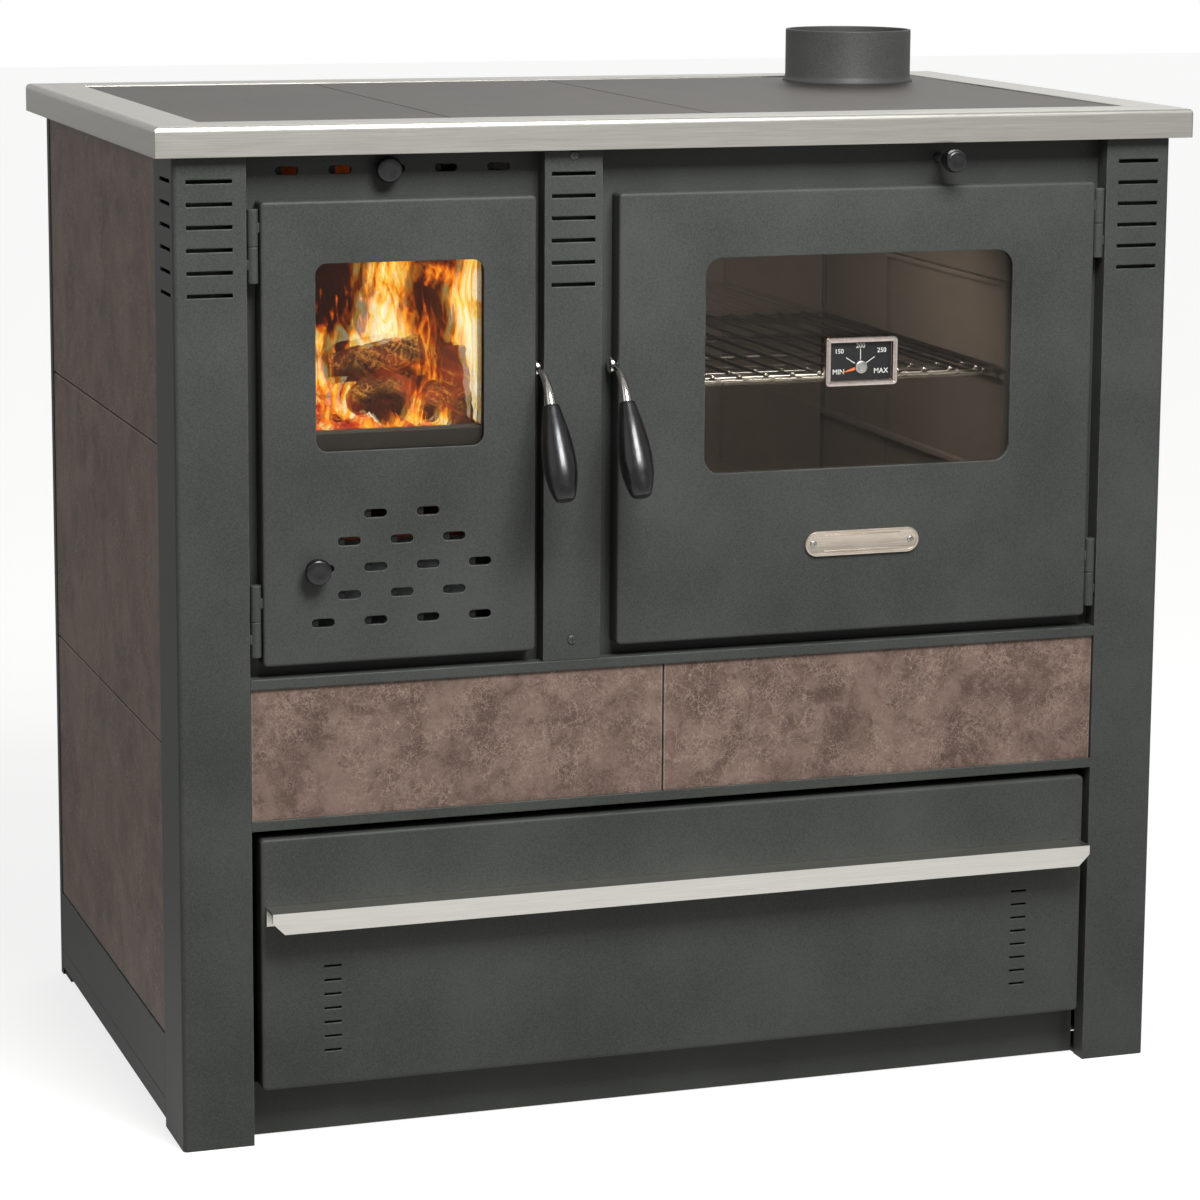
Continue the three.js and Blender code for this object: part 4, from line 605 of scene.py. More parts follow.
def stone_tile():
    """Taupe marble: dark and light clouds, a dense web of fine pale veins, and a painted highlight that
    lightens its edges as if they catch the light.
    """
    material, wires, sockets = new_material("Stone tile", Specular_IOR_Level=0.2)
    where = wires.place()
    clouds = wires.noise(where, 13.0, 6.0, 0.6, 0.9)
    blotch = wires.noise(where, 60.0, 7.0, 0.7, 0.8)
    speckle = wires.noise(where, 620.0, 3.0, 0.7)
    body = wires.mix(wires.span(clouds, 0.38, 0.62), tone("#56453d"), tone("#78645a"))
    body = wires.mix(wires.span(blotch, 0.50, 0.66, 0.0, 0.6), body, tone("#877268"))
    body = wires.mix(wires.span(blotch, 0.46, 0.34, 0.0, 0.6), body, tone("#43352e"))
    body = wires.mix(wires.span(speckle, 0.5, 0.7, 0.0, 0.5), body, tone("#907b70"))
    veins = None
    for scale, width, strength, low in ((22.0, 0.014, 0.6, 0.50), (64.0, 0.030, 0.7, 0.46),
                                        (170.0, 0.075, 0.6, 0.44)):
        pull = wires.add("ShaderNodeTexNoise", {"Vector": where, "Scale": scale * 0.9, "Detail": 6.0})
        reach = 3.0 / scale
        bent = wires.add("ShaderNodeVectorMath", {0: pull.outputs["Color"], 1: (reach, reach, reach)},
                         operation="MULTIPLY").outputs[0]
        moved = wires.add("ShaderNodeVectorMath", {0: where, 1: bent}, operation="ADD").outputs[0]
        cracks = wires.add("ShaderNodeTexVoronoi", {"Vector": moved, "Scale": scale},
                           feature="DISTANCE_TO_EDGE").outputs["Distance"]
        line = wires.times(wires.span(cracks, 0.0, width, strength, 0.0),
                          wires.span(wires.noise(where, 16.0 + scale * 0.1, 4.0), low, low + 0.16))
        veins = wires.most(veins, line) if veins else line
    body = wires.mix(veins, body, tone("#ab9587"))
    edge = wires.group(EFFECTS["edge"], {"Vector": where, "Width": 1.8 * MM})
    # Painted highlight: the edges are mixed towards pale #cfc4bb, where the bevelled arris would catch the
    # light.
    wires.put(sockets["Base Color"], wires.mix(wires.times(edge["Edge"], 0.8), body,
                                               tone("#cfc4bb")))
    wires.put(sockets["Roughness"], wires.span(blotch, 0.3, 0.7, 0.40, 0.55))
    bumped(wires, sockets, blotch, 0.08, 0.25, edge["Normal"])
    return material


def fireclay():
    """Rough firebrick, sooty towards its foot."""
    material, wires, sockets = new_material("Fireclay", Roughness=0.9)
    where = wires.place()
    grain = wires.group(EFFECTS["grain"], {
        "Vector": where, "Scale": 500.0, "Dark": tone("#7d5a41"), "Light": tone("#a9825e"), "Gloss": 0.8})
    soot = wires.group(EFFECTS["soot"], {"Vector": where, "From": 0.54, "To": 0.9})["Mask"]
    wires.put(sockets["Base Color"], wires.mix(soot, grain["Color"], tone("#1d1512")))
    bumped(wires, sockets, grain["Height"], 0.4)
    return material


def glass(name, tint):
    """Clear glass that lets lamp light through to what is behind it."""
    material, wires, _ = new_material(
        name, Base_Color=tone(tint), Roughness=0.0, IOR=1.45, Transmission_Weight=1.0)
    nodes = material.node_tree.nodes
    clear = wires.add("ShaderNodeBsdfTransparent", {0: tone(tint)})
    rays = wires.add("ShaderNodeLightPath").outputs
    through = wires.most(GLASS_CLEARNESS, wires.most(rays["Is Shadow Ray"], rays["Is Diffuse Ray"]))
    both = wires.add("ShaderNodeMixShader", {
        0: through, 1: nodes["Principled BSDF"].outputs[0], 2: clear.outputs[0]})
    wires.put(nodes["Material Output"].inputs["Surface"], both.outputs[0])
    return material


def black_gloss():
    """Polished black plastic with faint finger marks."""
    material, wires, sockets = new_material(
        "Black gloss", Specular_IOR_Level=0.4, Coat_Weight=0.35, Coat_Roughness=0.12)
    where = wires.place()
    grain = wires.group(EFFECTS["grain"], {
        "Vector": where, "Scale": 300.0, "Dark": tone("#060607"), "Light": tone("#0c0c0e"), "Gloss": 0.22})
    prints = wires.span(wires.noise(where, 90.0, 4.0, 0.6, 1.5), 0.5, 0.62, 0.0, 0.12)
    wires.put(sockets["Base Color"], grain["Color"])
    wires.put(sockets["Roughness"], wires.plus(grain["Roughness"], prints))
    bumped(wires, sockets, wires.noise(where, 120.0, 2.0), 0.04, 0.2)
    return material


def charred_wood():
    """Bark and char with glowing cracks and patches."""
    material, wires, sockets = new_material("Charred wood", Roughness=0.85, Emission_Strength=1.4)
    where = wires.place()
    bark = wires.noise(where, 70.0, 8.0, 0.7, 1.5)
    ridge = wires.math("ABSOLUTE", wires.minus(wires.noise(where, 62.0, 6.0, 0.6, 1.0), 0.5))
    wires.put(sockets["Base Color"],
              wires.mix(wires.span(bark, 0.40, 0.68), tone("#150b07"), tone("#8a4f27")))
    cracks = wires.times(wires.span(ridge, 0.0, 0.022, 1.0, 0.0),
                        wires.span(wires.noise(where, 24.0, 3.0), 0.46, 0.58))
    glow = wires.mix(wires.span(wires.noise(where, 33.0, 4.0, 0.6, 0.8), 0.46, 0.72, 0.0, 0.5),
                     tone("#1c0803"), tone("#c8430c"))
    wires.put(sockets["Emission Color"], wires.mix(cracks, glow, tone("#ffb14a")))
    bumped(wires, sockets, bark, 2.5, 0.9)
    return material


def glowing_embers():
    """Grey ash over coals that glow from dark red to pale yellow."""
    material, wires, sockets = new_material("Embers", Roughness=0.9, Emission_Strength=1.3)
    where = wires.place()
    heat = wires.noise(where, 55.0, 5.0, 0.6, 0.6)
    glow = wires.ramp(heat, (0.36, "#2a0703"), (0.48, "#c02408"), (0.58, "#ff6a1a"), (0.70, "#ffe08a"))
    wires.put(sockets["Emission Color"], glow)
    wires.put(sockets["Base Color"], wires.mix(heat, tone("#0d0908"), tone("#6b5f59")))
    bumped(wires, sockets, heat, 2.0, 0.8)
    return material


def flame(name, tongues):
    """Tongues of fire: white hearts, yellow and orange bodies and red tips that thin out into clear air.
    A tongue is its middle, half width, foot and height."""
    material, wires, sockets = new_material(
        name, Base_Color=(0, 0, 0, 1), Roughness=1.0, Specular_IOR_Level=0.0, Emission_Strength=1.6)
    sway = wires.times(wires.minus(wires.noise(wires.place((1, 1, 0.6)), 17.0, 2.0), 0.5), 0.085)
    licks = wires.noise(wires.place((1, 1, 0.34)), 78.0, 5.0, 0.62, 1.6)
    axes = wires.axes()
    heat = None
    for middle, half, foot, height in tongues:
        away = wires.math("DIVIDE", wires.minus(wires.plus(axes["X"], sway), middle * MM), half * MM)
        climb = wires.math("ABSOLUTE", wires.minus(axes["Z"], foot * MM))
        rise = wires.math("DIVIDE", climb, height * MM)
        tongue = wires.minus(0.92, wires.plus(wires.times(away, away), rise))
        heat = wires.most(heat, tongue) if heat else tongue
    heat = wires.plus(heat, wires.span(licks, 0.28, 0.72, -0.56, 0.56))
    wires.put(sockets["Emission Color"], wires.ramp(
        heat, (0.0, "#7a1802"), (0.14, "#d6430a"), (0.30, "#ff8412"), (0.46, "#ffb52e"),
        (0.62, "#ffdf70"), (0.80, "#fff6d8")))
    wires.put(sockets["Alpha"], wires.span(heat, 0.0, 0.34))
    return material


def rope():
    """Grey glass-fibre rope with a twisted lay."""
    material, wires, sockets = new_material("Seal rope", Roughness=0.95)
    strands = wires.add("ShaderNodeTexWave", {
        "Vector": wires.place((1, 1, 1), (0.6, 0.5, 0.4)), "Scale": 180.0, "Distortion": 3.0, "Detail": 2.0})
    fibre = wires.noise(wires.place(), 1500.0, 2.0)
    wires.put(sockets["Base Color"], wires.mix(strands.outputs["Fac"], tone("#55524d"), tone("#8b8780")))
    bumped(wires, sockets, wires.plus(strands.outputs["Fac"], fibre), 0.3)
    return material


EFFECT_MAKERS = {"grain": grain_effect, "brush": brush_effect, "edge": edge_effect, "soot": soot_effect}
FINISH_MAKERS = {
    "charcoal_paint": charcoal_paint,
    "dark_steel": lambda: grained(
        "Dark steel", "#343533", "#4c4d4b", 0.42, 700.0, 0.02, "#7e7f7c", Specular_IOR_Level=0.4),
    "brushed_rim": brushed_rim,
    "hob_steel": hob_steel,
    "stone_tile": stone_tile,
    "fireclay": fireclay,
    "clear_glass": lambda: glass("Door glass", "#e9e6e0"),
    "cast_iron": lambda: grained("Cast iron", "#1f1e1d", "#373431", 0.7, 260.0, 0.5, "#5a5650", Metallic=0.5),
    "galvanised_steel": lambda: grained(
        "Galvanised steel", "#7c7f81", "#a2a5a6", 0.34, 90.0, 0.03, Metallic=0.9),
    "oven_enamel": lambda: grained(
        "Oven steel", "#5a5048", "#695e55", 0.36, 60.0, 0.002, Specular_IOR_Level=0.3),
    "bright_chrome": lambda: brushed("Bright chrome", "#c2beb8", "#e4e0da", 0.04, (5, 5, 5), 0.005),
    "black_gloss": black_gloss,
    "needle_red": lambda: grained("Needle red", "#a8401f", "#c95a33", 0.3, 400.0, 0.02),
    "pale_nickel": lambda: brushed("Pale nickel", "#b8ac9d", "#e0d6c9", 0.26, (0.5, 9, 9), 0.02),
}
EXTRA_MAKERS = {
    # Painted sheen: a lighter copy of the rim's brushed steel, for the drawer's handle bar.
    "bar_painted_sheen": lambda: brushed("Bar steel with painted sheen", "#c3c1ba", "#dcdad3", 0.27, (0.25, 22, 22), 0.012),
    "pale_nickel_bright": lambda: brushed("Bezel chrome", "#b9aba3", "#e2d6cf", 0.10, (5, 5, 5), 0.005),
    "slide_black": lambda: grained(
        "Slide black", "#101010", "#1c1c1b", 0.6, 500.0, 0.02, Specular_IOR_Level=0.2),
    # Painted shade: the oven rack is chrome, coloured dark here as its wires look in the dim oven.
    "rack_painted_shade": lambda: grained("Rack wire in painted shade", "#2b2623", "#4a433e", 0.22, 300.0, 0.01, Metallic=0.8),
    "screw_dark": lambda: grained("Dark screw", "#3a3b39", "#5a5b58", 0.35, 700.0, 0.02, Metallic=0.5),
    "dial_black": lambda: grained("Dial black", "#0c0c0d", "#161617", 0.35, 900.0, 0.01),
    "dial_white": lambda: grained("Dial white", "#d4d2cd", "#efede8", 0.45, 900.0, 0.01),
    "tip_orange": lambda: grained("Pointer orange", "#c9562b", "#e07a45", 0.4, 400.0, 0.01),
    "hub_silver": lambda: brushed("Hub silver", "#a9a7a3", "#d9d7d3", 0.25, (8, 8, 8), 0.01),
    "screw_steel": lambda: brushed("Screw steel", "#8d8a84", "#bdbab4", 0.25, (6, 6, 6), 0.01),
    "charred_wood": charred_wood,
    "embers": glowing_embers,
    "tall_flame": lambda: flame("Tall flame", TALL_FLAMES),
    "low_flame": lambda: flame("Low flame", LOW_FLAMES),
    "soot_black": lambda: grained("Sooty steel", "#0f0e0d", "#1f1c1a", 0.75, 240.0, 0.1),
    "keeper_dark": lambda: grained("Glass keeper", "#1c1c1b", "#2a2a29", 0.5, 600.0, 0.02, "#5c5c5a"),
    "rope": rope,
}
EFFECTS = {}  # Filled by the finishes operator, as is FINISHES.
FINISHES = {}


# ---- The stove's own measures, in millimetres ----

POST_FACE = -239.86
BARREL = 30
HINGE_AXES = {"fire": -374.5, "oven": 374.5}
HINGE_HEIGHTS = {"upper": 752, "lower": 445}
PIVOT = (-231.86, 644.0)  # y and z of both handles' pivots
HANDLE_SIDES = {"fire": (-136.5, 1), "oven": (-64.5, -1)}
GRIP_TOP = (-40.6, -26.1)  # from the pivot
GRIP_TILT = math.radians(27.7)
# A flame's middle, half width, foot and height.
TALL_FLAMES = ((-238, 30, 656, 170), (-180, 30, 640, 230), (-286, 9, 640, 50), (-242, 46, 600, 44))
LOW_FLAMES = ((-268, 17, 586, 30), (-232, 20, 588, 38), (-206, 9, 590, 34), (-306, 8, 588, 40))
DIAL = (152.25, 640.5)  # x and z of the dial's middle
DIAL_PIVOT = (152.25, -242.66, 635.5)
DIAL_WORDS = (("150", -19.5, 8.6, 5.6), ("200", 0, 13.0, 5.6), ("250", 19.5, 8.6, 5.6),
              ("MIN", -20, -9.0, 6.2), ("MAX", 19, -9.0, 6.2))  # from the dial's middle, and height
RACK_CELLS = 14
OVEN_CORNERS = {"left": -40.2, "right": 309.7}
SEAL_LOOPS = {"fire": ((-357, 414.6), (-149.6, 780.4)), "oven": ((-57.5, 414.6), (361.5, 780.4))}
BACK_SCREWS = [(x, 302.8, z) for x in (-372, 0, 372) for z in (40, 320, 580, 818)]
# A log's two ends and its radius.
LOGS = (((-290, -166, 640), (-222, -196, 660), 13), ((-254, -205, 612), (-220, -138, 642), 16),
        ((-278, -203, 617), (-240, -146, 640), 11), ((-192, -203, 583), (-190, -182, 656), 15),
        ((-219, -206, 606), (-196, -158, 628), 10), ((-318, -130, 580), (-200, -110, 584), 16))
# A flame sheet's left and right ends on the floor plan, its foot, top and finish.
FLAME_SHEETS = (((-324, -100), (-176, -202), 560, 764, "tall_flame"),
                ((-318, -205), (-186, -208), 566, 640, "low_flame"))
GLASS_CLEARNESS = 0.72  # the share of a pane that shows no reflection

# The camera in metres and radians, matched to the photo.
CAMERA_PLACE = (-1.08468, -3.21052, 1.07251)
CAMERA_YAW, CAMERA_PITCH, CAMERA_ROLL = 0.326207, 0.165568, 0.00628
CAMERA_LENS, CAMERA_SENSOR, CAMERA_SHIFT = 114.233, 36.0, -0.1


def bezier(knots, steps):
    """Points along a cubic curve of four [y, z] knots."""
    points = []
    for i in range(steps + 1):
        t = i / steps
        share = ((1 - t) ** 3, 3 * t * (1 - t) ** 2, 3 * t * t * (1 - t), t ** 3)
        points.append([sum(s * knot[k] for s, knot in zip(share, knots)) for k in range(2)])
    return points


def flowing(profile, steps=4):
    """A smooth curve through a profile's points."""
    ends = [profile[0], *profile, profile[-1]]
    points = []
    for a, b, c, d in zip(ends, ends[1:], ends[2:], ends[3:]):
        for i in range(steps):
            t = i / steps
            points.append(tuple(0.5 * (2 * q + (r - p) * t + (2 * p - 5 * q + 4 * r - s) * t * t
                                       + (3 * q - p - 3 * r + s) * t ** 3)
                                for p, q, r, s in zip(a, b, c, d)))
    return [*points, tuple(profile[-1])]


def eased(piece, width, segments=3):
    """Rounds a piece's sharp edges."""
    only(piece)
    edge = piece.modifiers.new("eased edges", "BEVEL")
    edge.width, edge.segments, edge.limit_method = width * MM, segments, "ANGLE"
    bpy.ops.object.modifier_apply(modifier=edge.name)
    return smooth(piece)


def rounded_loop(low, high, radius, depth, steps=6):
    """Points of a rectangle with rounded corners, from the low corner [x, z] to the high one."""
    points = []
    left, right, foot, top = low[0] + radius, high[0] - radius, low[1] + radius, high[1] - radius
    for cx, cz, first in ((right, top, 0), (left, top, 90), (left, foot, 180), (right, foot, 270)):
        for i in range(steps + 1):
            turn = math.radians(first + 90 * i / steps)
            points.append((cx + radius * math.cos(turn), depth, cz + radius * math.sin(turn)))
    return points


# ---- The settings and one operator for each group of pieces ----

def color_setting(name, description, code):
    return FloatVectorProperty(name=name, description=description, subtype="COLOR", size=3,
                               min=0.0, max=1.0, default=tone(code)[:3])


def length_setting(name, description, default):
    return FloatProperty(name=name, description=description, subtype="DISTANCE", unit="LENGTH",
                         min=0.0, default=default * MM)


class CookstoveSettings(bpy.types.PropertyGroup):
    """Sizes and colours of the cookstove."""
    paint_dark: color_setting("Paint, dark grain", "Darker grains of the sprayed paint", "#353734")
    paint_light: color_setting("Paint, light grain", "Lighter grains of the sprayed paint", "#494b48")
    floor_color: color_setting("Floor", "Colour of the studio floor", "#a4a4a2")
    lip: length_setting("Collar lip", "Rounding of the flue collar's edges", 0.7)
    wire: length_setting("Rack wire in painted shade", "Radius of the oven rack's wires", 1.8)
    rope: length_setting("Seal rope", "Radius of the doors' seal ropes", 3.0)
    daylight: FloatProperty(name="Sun level", description="Strength of the studio's front sun lamp", min=0.0,
                            default=0.42)
    skylight: FloatProperty(name="Sky level", description="Strength of the light from all round", min=0.0,
                            default=0.18)
    fireglow: FloatProperty(name="Fire level", description="Strength of the fire's own lamp", min=0.0,
                            unit="POWER", default=3.0)
    seed: IntProperty(name="Fire seed", description="Chooses how the logs lie", default=4)


class COOKSTOVE_OT_finishes(bpy.types.Operator):
    """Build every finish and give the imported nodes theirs"""
    bl_idname = "cookstove.finishes"
    bl_label = "Finishes"

    def execute(self, context):
        EFFECTS.update({name: make() for name, make in EFFECT_MAKERS.items()})
        FINISHES.update({name: make() for name, make in {**FINISH_MAKERS, **EXTRA_MAKERS}.items()})
        for name, node in frame["nodes"].items():
            node.data.materials.clear()
            node.data.materials.append(FINISHES[FINISH_OF[name]])
        return {"FINISHED"}


class COOKSTOVE_OT_flue_collar(bpy.types.Operator):
    """Turn the flue collar with its foot and its neck"""
    bl_idname = "cookstove.flue_collar"
    bl_label = "Flue collar"

    def execute(self, context):
        low, high = node_span("flue_collar")
        seat = low.z + 7.8
        collar = lathe("flue_collar_turned", [
            (52.5, low.z), (55.5, low.z), (55.5, seat), (62, seat), (62, seat + 2.2), (60.6, seat + 4.2),
            (60, seat + 7), (60, high.z), (57, high.z), (57, seat + 7), (52.5, seat + 3), (52.5, low.z),
        ], 96, ring=True)
        placed(collar, ((low.x + high.x) / 2, (low.y + high.y) / 2, 0))
        eased(collar, context.scene.cookstove.lip / MM)
        finished(collar, "stove", "dark_steel", "flue_collar")
        return {"FINISHED"}


class COOKSTOVE_OT_handles(bpy.types.Operator):
    """Bend the two door levers and turn their grips"""
    bl_idname = "cookstove.handles"
    bl_label = "Door handles"

    def execute(self, context):
        path = bezier([(0, 0), (-24.4, 0), (-33.3, -12.2), GRIP_TOP], 28)
        radii = [2.2 + 2.4 * i / 28 for i in range(29)]
        for door, (side, hand) in HANDLE_SIDES.items():
            y, z = PIVOT
            middle = side + hand * 3.1
            shank = tube(f"{door}_shank", [(middle, y + p, z + q) for p, q in path], 1, radii=radii, sides=8)
            hub = lathe(f"{door}_hub", [
                (5.6, 0), (6.6, 0.25), (7, 0.9), (7, 4.1), (6.6, 4.75), (5.6, 5)], 48)
            placed(hub, (side + hand * 0.6, y, z), (0, hand * math.pi / 2, 0))
            pin = lathe(f"{door}_pin", [(3, 0), (3, 9.7)], 32)
            placed(pin, (side - hand * 6.6, y, z), (0, hand * math.pi / 2, 0))
            ends = sorted((side - hand * 6.6, side - hand * 2.6))
            cam = block(f"{door}_cam", (ends[0], y - 5, z - 5), (ends[1], y + 8.5, z + 3), 0.8)
            lever = joined(f"{door}_handle_lever_bent", [shank, hub, pin, cam])
            finished(lever, f"{door}_handle", "bright_chrome", f"{door}_handle_lever")
            profile = flowing([(6.2, 0), (7.0, 1.2), (8.4, 8), (11.2, 22), (13.3, 38), (13.9, 50), (13.2, 62),
                               (10.6, 74), (8.2, 80.2), (6.2, 81.7)])
            grip = lathe(f"{door}_handle_grip_turned", [(r, -d) for r, d in profile], 64)
            placed(grip, (middle, y + GRIP_TOP[0] - 0.3 * math.sin(GRIP_TILT),
                          z + GRIP_TOP[1] - 0.3 * math.cos(GRIP_TILT)), (-GRIP_TILT, 0, 0))
            finished(grip, f"{door}_handle", "black_gloss", f"{door}_handle_grip")
        return {"FINISHED"}


class COOKSTOVE_OT_knobs(bpy.types.Operator):
    """Turn the knobs of the two air slides and of the damper"""
    bl_idname = "cookstove.knobs"
    bl_label = "Knobs"

    def execute(self, context):
        shape = [(0.62, 0), (0.60, 0.14), (0.64, 0.28), (0.82, 0.37), (0.95, 0.46), (1, 0.58), (1, 0.72),
                 (0.96, 0.85), (0.88, 0.94), (0.74, 0.985), (0.5, 1.0), (0.25, 0.985)]
        for node, body in (("primary_air_knob", "primary_air"), ("secondary_air_knob", "secondary_air"),
                           ("damper_knob", "damper")):
            low, high = node_span(node)
            radius, length = (high.x - low.x) / 2, high.y - low.y
            knob = lathe(f"{node}_turned", [
                (r * radius, h * length) for r, h in flowing(shape, 3)], 56)
            placed(knob, ((low.x + high.x) / 2, high.y, (low.z + high.z) / 2), (math.pi / 2, 0, 0))
            finished(knob, body, "black_gloss", node)
        return {"FINISHED"}


class COOKSTOVE_OT_hinges(bpy.types.Operator):
    """Turn the lift-off hinges: barrel, pin and tab on the post, and the barrel on the door"""
    bl_idname = "cookstove.hinges"
    bl_label = "Hinges"

    def execute(self, context):
        for door, x in HINGE_AXES.items():
            hand = -1 if door == "fire" else 1
            for level, z in HINGE_HEIGHTS.items():
                place = (x, POST_FACE + 3, 0)
                barrel = placed(eased(lathe(f"{door}_{level}_barrel", [
                    (4.5, z - BARREL), (4.5, z - 0.3)], 48), 0.7), place)
                pin = placed(eased(lathe(f"{door}_{level}_pin", [
                    (2.4, z - 12), (2.4, z + 18)], 32), 0.5), place)
                reach = sorted((x, x + hand * 5.2))
                tab = block(f"{door}_{level}_tab", (reach[0], place[1] - 2.2, z - BARREL / 2 - 4),
                            (reach[1], place[1] + 2.2, z - BARREL / 2 + 4), 0.5)
                half = joined(f"{door}_hinge_{level}_turned", [barrel, pin, tab])
                finished(half, "stove", "charcoal_paint", f"{door}_hinge_{level}")
                sleeve = placed(eased(lathe(f"{door}_door_barrel_{level}", [
                    (2.9, z + 0.02), (4.6, z + 0.02), (4.6, z + BARREL), (2.9, z + BARREL), (2.9, z + 0.02)],
                    48, ring=True), 0.5), place)
                finished(sleeve, f"{door}_door", "charcoal_paint")
        return {"FINISHED"}


class COOKSTOVE_OT_thermometer(bpy.types.Operator):
    """Build the oven thermometer: stepped case, dial with its scale, hub and pointer"""
    bl_idname = "cookstove.thermometer"
    bl_label = "Thermometer"

    def execute(self, context):
        x, z = DIAL
        back, front = POST_FACE, -246.86
        case = block("thermometer_case_stepped",
                     (x - 32.5, front + 0.8, z - 20.5), (x + 32.5, back, z + 20.5))
        rounded_corners(case, 1, 3.2)
        stepped(case, (0, -1, 0), [(1.1, 0.8), (1.2, -0.7), (1.6, -4.0)])
        eased(case, 0.45)
        stem = placed(eased(lathe("thermometer_stem", [(4, 0), (4, 19)], 32), 0.5),
                      (x, -223.3, z), (math.pi / 2, 0, 0))
        nut = placed(eased(lathe("thermometer_nut", [(8, 0), (8, 3)], 6), 0.4),
                     (x, -232.2, z), (math.pi / 2, 0, 0))
        spindle = placed(lathe("thermometer_spindle", [(1.5, 0), (1.5, 3.2)], 24),
                         (x, -241.4, DIAL_PIVOT[2]), (math.pi / 2, 0, 0))
        case = joined("thermometer_case_stepped", [case, stem, nut, spindle])
        finished(case, "oven_door", "bright_chrome", "thermometer_case", finish="pale_nickel_bright")

        floor = front + 4.46
        dial = block("thermometer_dial", (x - 28.4, floor, z - 16.4), (x + 28.4, floor + 0.8, z + 16.4), 0.2)
        finished(dial, "oven_door", "black_gloss", finish="dial_black")
        marks = [lettering(f"dial_{words}", words, height, (x + dx, floor - 0.08, z + dz))
                 for words, dx, dz, height in DIAL_WORDS]
        for i, degrees in enumerate((148, 90, 32)):
            mark = block(f"dial_line_{i}", (-0.3, floor - 0.12, 6.0), (0.3, floor, 15.4))
            marks.append(placed(mark, (DIAL_PIVOT[0], 0, DIAL_PIVOT[2]),
                                (0, math.pi / 2 - math.radians(degrees), 0)))
        scale = joined("thermometer_scale", marks)
        finished(scale, "oven_door", "pale_nickel", finish="dial_white")

        hub = lathe("thermometer_hub", flowing([
            (5.3, 0), (5.5, 0.6), (5.5, 2.2), (5.1, 3.0), (4.2, 3.2), (3.9, 2.7), (3.0, 2.7), (2.6, 3.3),
            (1.4, 3.45), (0.6, 3.5)], 2), 48)
        placed(hub, DIAL_PIVOT, (math.pi / 2, 0, 0))
        finished(hub, "thermometer", "pale_nickel", "thermometer_needle", finish="hub_silver")
        pointer = block("thermometer_pointer", (-17.6, -1.0, -1.6), (-2.0, -0.15, 1.6))
        with editing(pointer):
            facing(pointer, (-1, 0, 0))
            bpy.ops.transform.resize(value=(1, 0.6, 0.12), center_override=at(-17.6, -0.4, 0))
        eased(pointer, 0.12, 2)
        placed(pointer, DIAL_PIVOT, (0, -math.radians(15), 0))
        finished(pointer, "thermometer", "needle_red", finish="tip_orange")
        return {"FINISHED"}


class COOKSTOVE_OT_nameplate(bpy.types.Operator):
    """Press the bare plate of the oven door, with its rim and two bars"""
    bl_idname = "cookstove.nameplate"
    bl_label = "Plate"

    def execute(self, context):
        low, high = node_span("nameplate")
        middle = (low.z + high.z) / 2
        plate = block("nameplate_pressed", (low.x, -244.4, low.z), high)
        rounded_corners(plate, 1, (high.z - low.z) / 2 - 0.1, 10)
        stepped(plate, (0, -1, 0), [(0.7, 0.5), (1.5, -0.9)])
        eased(plate, 0.25, 2)
        bars = [block(f"plate_bar_{i}", (low.x + 17, -244.8, middle + side - 0.5),
                      (high.x - 17, -243.6, middle + side + 0.5), 0.3, 2)
                for i, side in enumerate((-6.6, 6.6))]
        finished(joined("nameplate_pressed", [plate, *bars]), "oven_door", "pale_nickel", "nameplate")
        return {"FINISHED"}


class COOKSTOVE_OT_oven_rack(bpy.types.Operator):
    """Bend the oven rack's frame and lay its wires across, coloured dark as painted shade, with a bright
    chrome front bar; dark rods paint shade into the oven's back corners
    """
    bl_idname = "cookstove.oven_rack"
    bl_label = "Oven rack"

    def execute(self, context):
        low, high = node_span("oven_rack")
        wire = context.scene.cookstove.wire / MM
        bar, front, back = 3.0, low.y + 6.0, high.y - 6.0
        level = low.z + bar
        left, right = low.x + bar, high.x - bar
        loop = [(px, py, level) for px, _, py in rounded_loop((left, front), (right, back), 12, 0)]
        pieces = [tube("rack_frame", loop, bar, closed=True, sides=7)]
        cell = (right - left) / RACK_CELLS
        first = left + cell
        ends = [(0, 0.3), (0.5, 0.72), (1.4, 0.97), (2.2, 1.0)]
        near = [(first, low.y + d, level + bar) for d, _ in ends]
        far = [(first, high.y - d, level + bar) for d, _ in reversed(ends)]
        radii = [r for _, r in ends] + [r for _, r in reversed(ends)]
        strand = tube("rack_wire_0", near + far, wire, radii=radii)
        pieces.append(strand)
        pieces += [copied(strand, f"rack_wire_{i}", (i * cell, 0, 0)) for i in range(1, RACK_CELLS - 1)]
        for i in (1, 2):
            y = front + i * (back - front) / 3
            pieces.append(tube(f"rack_stay_{i}", [(left, y, level), (right, y, level)], 2.2))
        # The frame, wires and stays are chrome, coloured dark as painted shade; the front bar and balls keep
        # bright chrome.
        rack = joined("oven_rack_bent", pieces)
        finished(rack, "stove", "bright_chrome", "oven_rack", finish="rack_painted_shade")
        bar_ends = [(left + 8, front, level), (right - 8, front, level)]
        bright = [tube("rack_front_bar", bar_ends, bar + 0.15, sides=7)]
        ball = lathe("rack_ball", [(0.5, -2.5), (1.6, -2.1), (2.4, -0.9), (2.5, 0), (2.4, 0.9),
                                   (1.6, 2.1), (0.5, 2.5)], 16)
        placed(ball, (first, low.y + 2.6, level + bar))
        bright.append(ball)
        bright += [copied(ball, f"rack_ball_{i}", (i * cell, 0, 0)) for i in range(1, RACK_CELLS - 1)]
        finished(joined("rack_front_bright", bright), "stove", "bright_chrome")
        # Painted shade: black rods down the oven's back corners darken the corners where shade falls, though
        # their slot is the enamel.
        for side, x in OVEN_CORNERS.items():
            dark_line = tube(f"oven_corner_{side}", [(x, 230.0, 429), (x, 230.0, 771)], 2.2)
            finished(dark_line, "stove", "oven_enamel", finish="slide_black")
        return {"FINISHED"}


